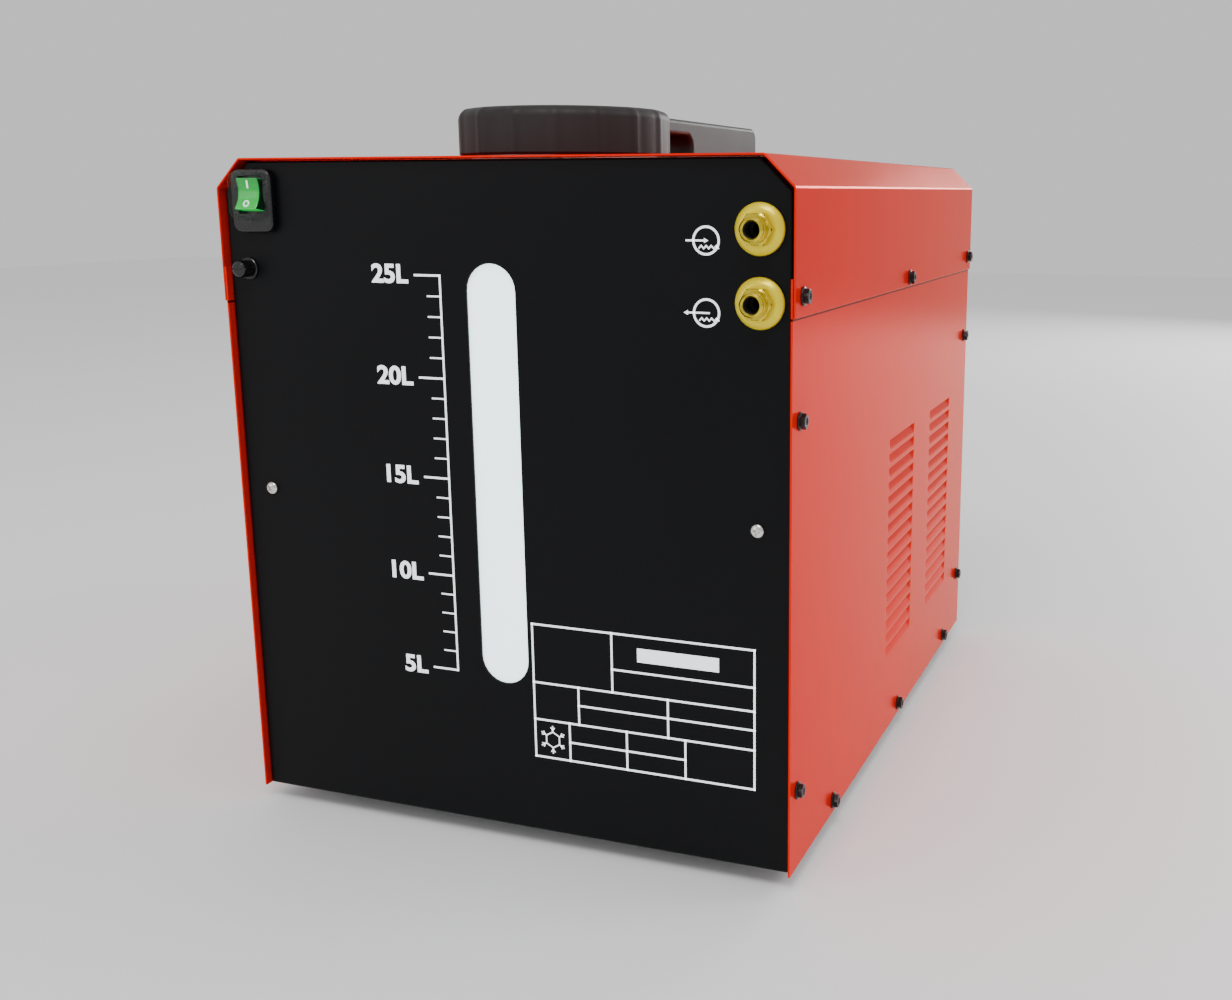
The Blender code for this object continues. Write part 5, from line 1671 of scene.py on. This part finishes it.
def rod(start, end, radius, steps=8):
    """A round bar between two points."""
    way = (end - start).normalized()
    side = way.orthogonal().normalized()
    up = way.cross(side)
    rings = []
    for point in (start, end):
        rings.append([point + radius * (cos(2 * pi * step / steps) * side + sin(2 * pi * step / steps) * up)
                      for step in range(steps)])
    return loft(rings)


# along the chord, rise of the camber line, half the thickness
BLADE_SECTION = ((-0.5, 0, 0.0003), (-0.25, 1, 0.0009), (0, 1.3, 0.0011), (0.25, 1, 0.0009),
                 (0.5, 0, 0.0003))


def fan_blade(centre, root, tip, turn):
    """A cambered blade, twisted from root to tip and swept forward."""
    rings = []
    for step in range(9):
        share = step / 8
        radius = root - 0.002 + (tip - root + 0.002) * share
        pitch = radians(42 - 16 * share)
        chord = 0.030 + 0.006 * share
        sweep = 0.14 * share ** 1.5
        points = [(along, camber * 0.0016 + thick) for along, camber, thick in BLADE_SECTION]
        points += [(along, height - 2 * thick) for (along, height), (_, _, thick) in
                   zip(reversed(points), reversed(BLADE_SECTION))]
        placed = []
        for along, height in points:
            across = along * chord * cos(pitch) - height * sin(pitch)
            deep = along * chord * sin(pitch) + height * cos(pitch)
            deep = max(-0.0135, min(0.0135, deep))
            angle = turn + sweep + across / radius
            placed.append((centre.x + radius * cos(angle), centre.y + deep, centre.z + radius * sin(angle)))
        rings.append(placed)
    return loft(rings)


# ---- Feet and gland ----

class COOLER_OT_feet(bpy.types.Operator):
    """Mould the four rubber feet"""
    bl_idname = "cooler.feet"
    bl_label = "Feet"

    def execute(self, context):
        names = [name for name in sorted(frame["nodes"]) if name.startswith("foot_")]
        low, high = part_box(names[0])
        radius = (high.x - low.x) / 2
        profile = [(0.0, 0.0025), (0.006, 0.0025), (0.0065, 0.0), (radius - 0.0025, 0.0),
                   (radius - 0.0008, 0.0008), (radius, 0.0026), (radius - 0.001, high.z), (0.0, high.z)]
        solids = [turned(profile, "Z", (middle(name).x, middle(name).y, 0), 40) for name in names]
        made = new_object("rubber_feet", put_together(solids), finish("black_rubber"))
        settle(made, 40)
        place_piece(made, "black_rubber", *names)
        return {"FINISHED"}


class COOLER_OT_gland(bpy.types.Operator):
    """Mould the ribbed cord gland on the rear panel"""
    bl_idname = "cooler.gland"
    bl_label = "Cord gland"

    def execute(self, context):
        low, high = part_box("cord_gland")
        centre = middle("cord_gland")
        seat = REAR_HIGH.y + 0.0003
        bore = 0.0048
        body = [(bore, low.y), (0.0098, low.y), (0.0098, seat),
                (0.0100, seat + 0.001), (bore, seat + 0.001)]
        solids = [turned(body, "Y", (centre.x, 0, centre.z), 48)]
        rings = []
        for y, r, rib in ((seat + 0.006, 0.0112, 0.0004), (high.y - 0.006, 0.0112, 0.0004),
                          (high.y - 0.003, 0.0104, 0.0002), (high.y - 0.001, 0.0090, 0),
                          (high.y, 0.0078, 0), (high.y, bore + 0.0006, 0),
                          (high.y - 0.0008, bore, 0), (seat + 0.006, bore, 0)):
            rings.append(ring_about(centre, y, 96, lambda _, angle: r + rib * cos(12 * angle)))
        solids.append(loft(rings + rings[:1], ends=False))
        solids.append(hex_nut(centre, 0.0240, seat + 0.0005, seat + 0.006, bore))
        made = new_object("gland_nut", put_together(solids), finish("smooth_black"))
        settle(made, 34)
        place_piece(made, "black_moulding", "cord_gland")
        return {"FINISHED"}


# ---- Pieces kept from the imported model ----

class COOLER_OT_kept_pieces(bpy.types.Operator):
    """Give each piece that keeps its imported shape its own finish"""
    bl_idname = "cooler.kept_pieces"
    bl_label = "Kept pieces"

    def execute(self, context):
        for part in frame["record"]["subparts"]:
            node = frame["nodes"][part["node"]]
            if node.hide_render:
                continue
            node.data.materials.clear()
            node.data.materials.append(finish(part["material_slot"]))
            node.data.shade_smooth()
            node.data.set_sharp_from_angle(angle=radians(30))
        return {"FINISHED"}


# ---- Stage ----

class COOLER_OT_stage(bpy.types.Operator):
    """Lay the floor and set the lights and the camera"""
    bl_idname = "cooler.stage"
    bl_label = "Stage"

    def execute(self, context):
        stage = sizes("stage")
        half = stage.floor / 2
        mesh = bmesh.new()
        corners = [mesh.verts.new((x, y, 0)) for x, y in box_outline((-half, -half), (half, half))]
        mesh.faces.new(corners)
        made = Finish("studio_floor")
        cloud = made.noise(3, 2.0)
        dark, light = shades(stage.floor_colour, 0.985, 1.0)
        made.surface(Base_Color=made.blend(cloud, dark, light), Roughness=0.55 + 0.05 * cloud)
        floor = new_object("studio_floor", mesh, made.material)
        self.lights()
        self.camera(stage)
        return {"FINISHED"}

    def lights(self):
        target = Vector((0, 0, 0.22))
        for name, place, wide, high, power in (
                ("key", (0.4, -1.6, 2.4), 1.2, 0.9, 34),
                ("side", (2.3, 0.9, 2.1), 1.0, 0.8, 16),
                ("front", (-1.8, -2.6, 1.2), 1.6, 1.4, 12),
                ("rear", (1.0, 3.2, 1.15), 1.3, 0.7, 40)):
            lamp = bpy.data.lights.new(name, "AREA")
            lamp.shape = "RECTANGLE"
            lamp.size = wide
            lamp.size_y = high
            lamp.energy = power
            made = bpy.data.objects.new(name, lamp)
            made.location = place
            made.rotation_euler = (target - Vector(place)).to_track_quat("-Z", "Y").to_euler()
            bpy.context.scene.collection.objects.link(made)
        world = bpy.data.worlds.new("studio")
        bpy.context.scene.world = world
        world.use_nodes = True
        back = world.node_tree.nodes["Background"]
        back.inputs["Color"].default_value = (1, 1, 1, 1)
        back.inputs["Strength"].default_value = 0.75

    def camera(self, stage):
        lens = bpy.data.cameras.new("camera")
        lens.lens = stage.lens
        lens.sensor_width = 36
        lens.shift_x = -0.112
        lens.shift_y = -0.0295
        lens.clip_start = 0.01
        made = bpy.data.objects.new("camera", lens)
        made.location = (0.4106, -0.9406, 0.4110)
        made.rotation_euler = (pi / 2 - stage.tilt, 0, stage.heading)
        bpy.context.scene.collection.objects.link(made)
        bpy.context.scene.camera = made


# ---- Panel and registration ----

OPERATORS = (
    COOLER_OT_stage, COOLER_OT_upper_cover, COOLER_OT_side_panels, COOLER_OT_front_panel,
    COOLER_OT_rear_panel, COOLER_OT_level_scale, COOLER_OT_data_grid, COOLER_OT_filler_cap,
    COOLER_OT_handle, COOLER_OT_switch, COOLER_OT_fuse, COOLER_OT_couplings, COOLER_OT_screws,
    COOLER_OT_fan, COOLER_OT_feet, COOLER_OT_gland, COOLER_OT_kept_pieces,
)


class COOLER_PT_build(bpy.types.Panel):
    """The cooler's pieces, in the order that they are made"""
    bl_idname = "COOLER_PT_build"
    bl_label = "Water cooler"
    bl_space_type = "VIEW_3D"
    bl_region_type = "UI"
    bl_category = "Cooler"

    def draw(self, context):
        for operator in OPERATORS:
            self.layout.operator(operator.bl_idname)
        for group in GROUP_NAMES:
            box = self.layout.box()
            held = getattr(context.scene, "cooler_" + group)
            for key in held.bl_rna.properties.keys():
                if key not in ("rna_type", "name"):
                    box.prop(held, key)


GROUP_NAMES = ("case", "printing", "fittings", "stage")


def register():
    for name, group in zip(GROUP_NAMES, GROUPS):
        bpy.utils.register_class(group)
        setattr(bpy.types.Scene, "cooler_" + name, bpy.props.PointerProperty(type=group))
    for piece in OPERATORS + (COOLER_PT_build,):
        bpy.utils.register_class(piece)


def unregister():
    for piece in reversed(OPERATORS + (COOLER_PT_build,)):
        bpy.utils.unregister_class(piece)
    for name, group in zip(GROUP_NAMES, GROUPS):
        delattr(bpy.types.Scene, "cooler_" + name)
        bpy.utils.unregister_class(group)


def main():
    register()
    for operator in OPERATORS:
        group, name = operator.bl_idname.split(".")
        getattr(getattr(bpy.ops, group), name)()


if __name__ == "__main__":
    main()
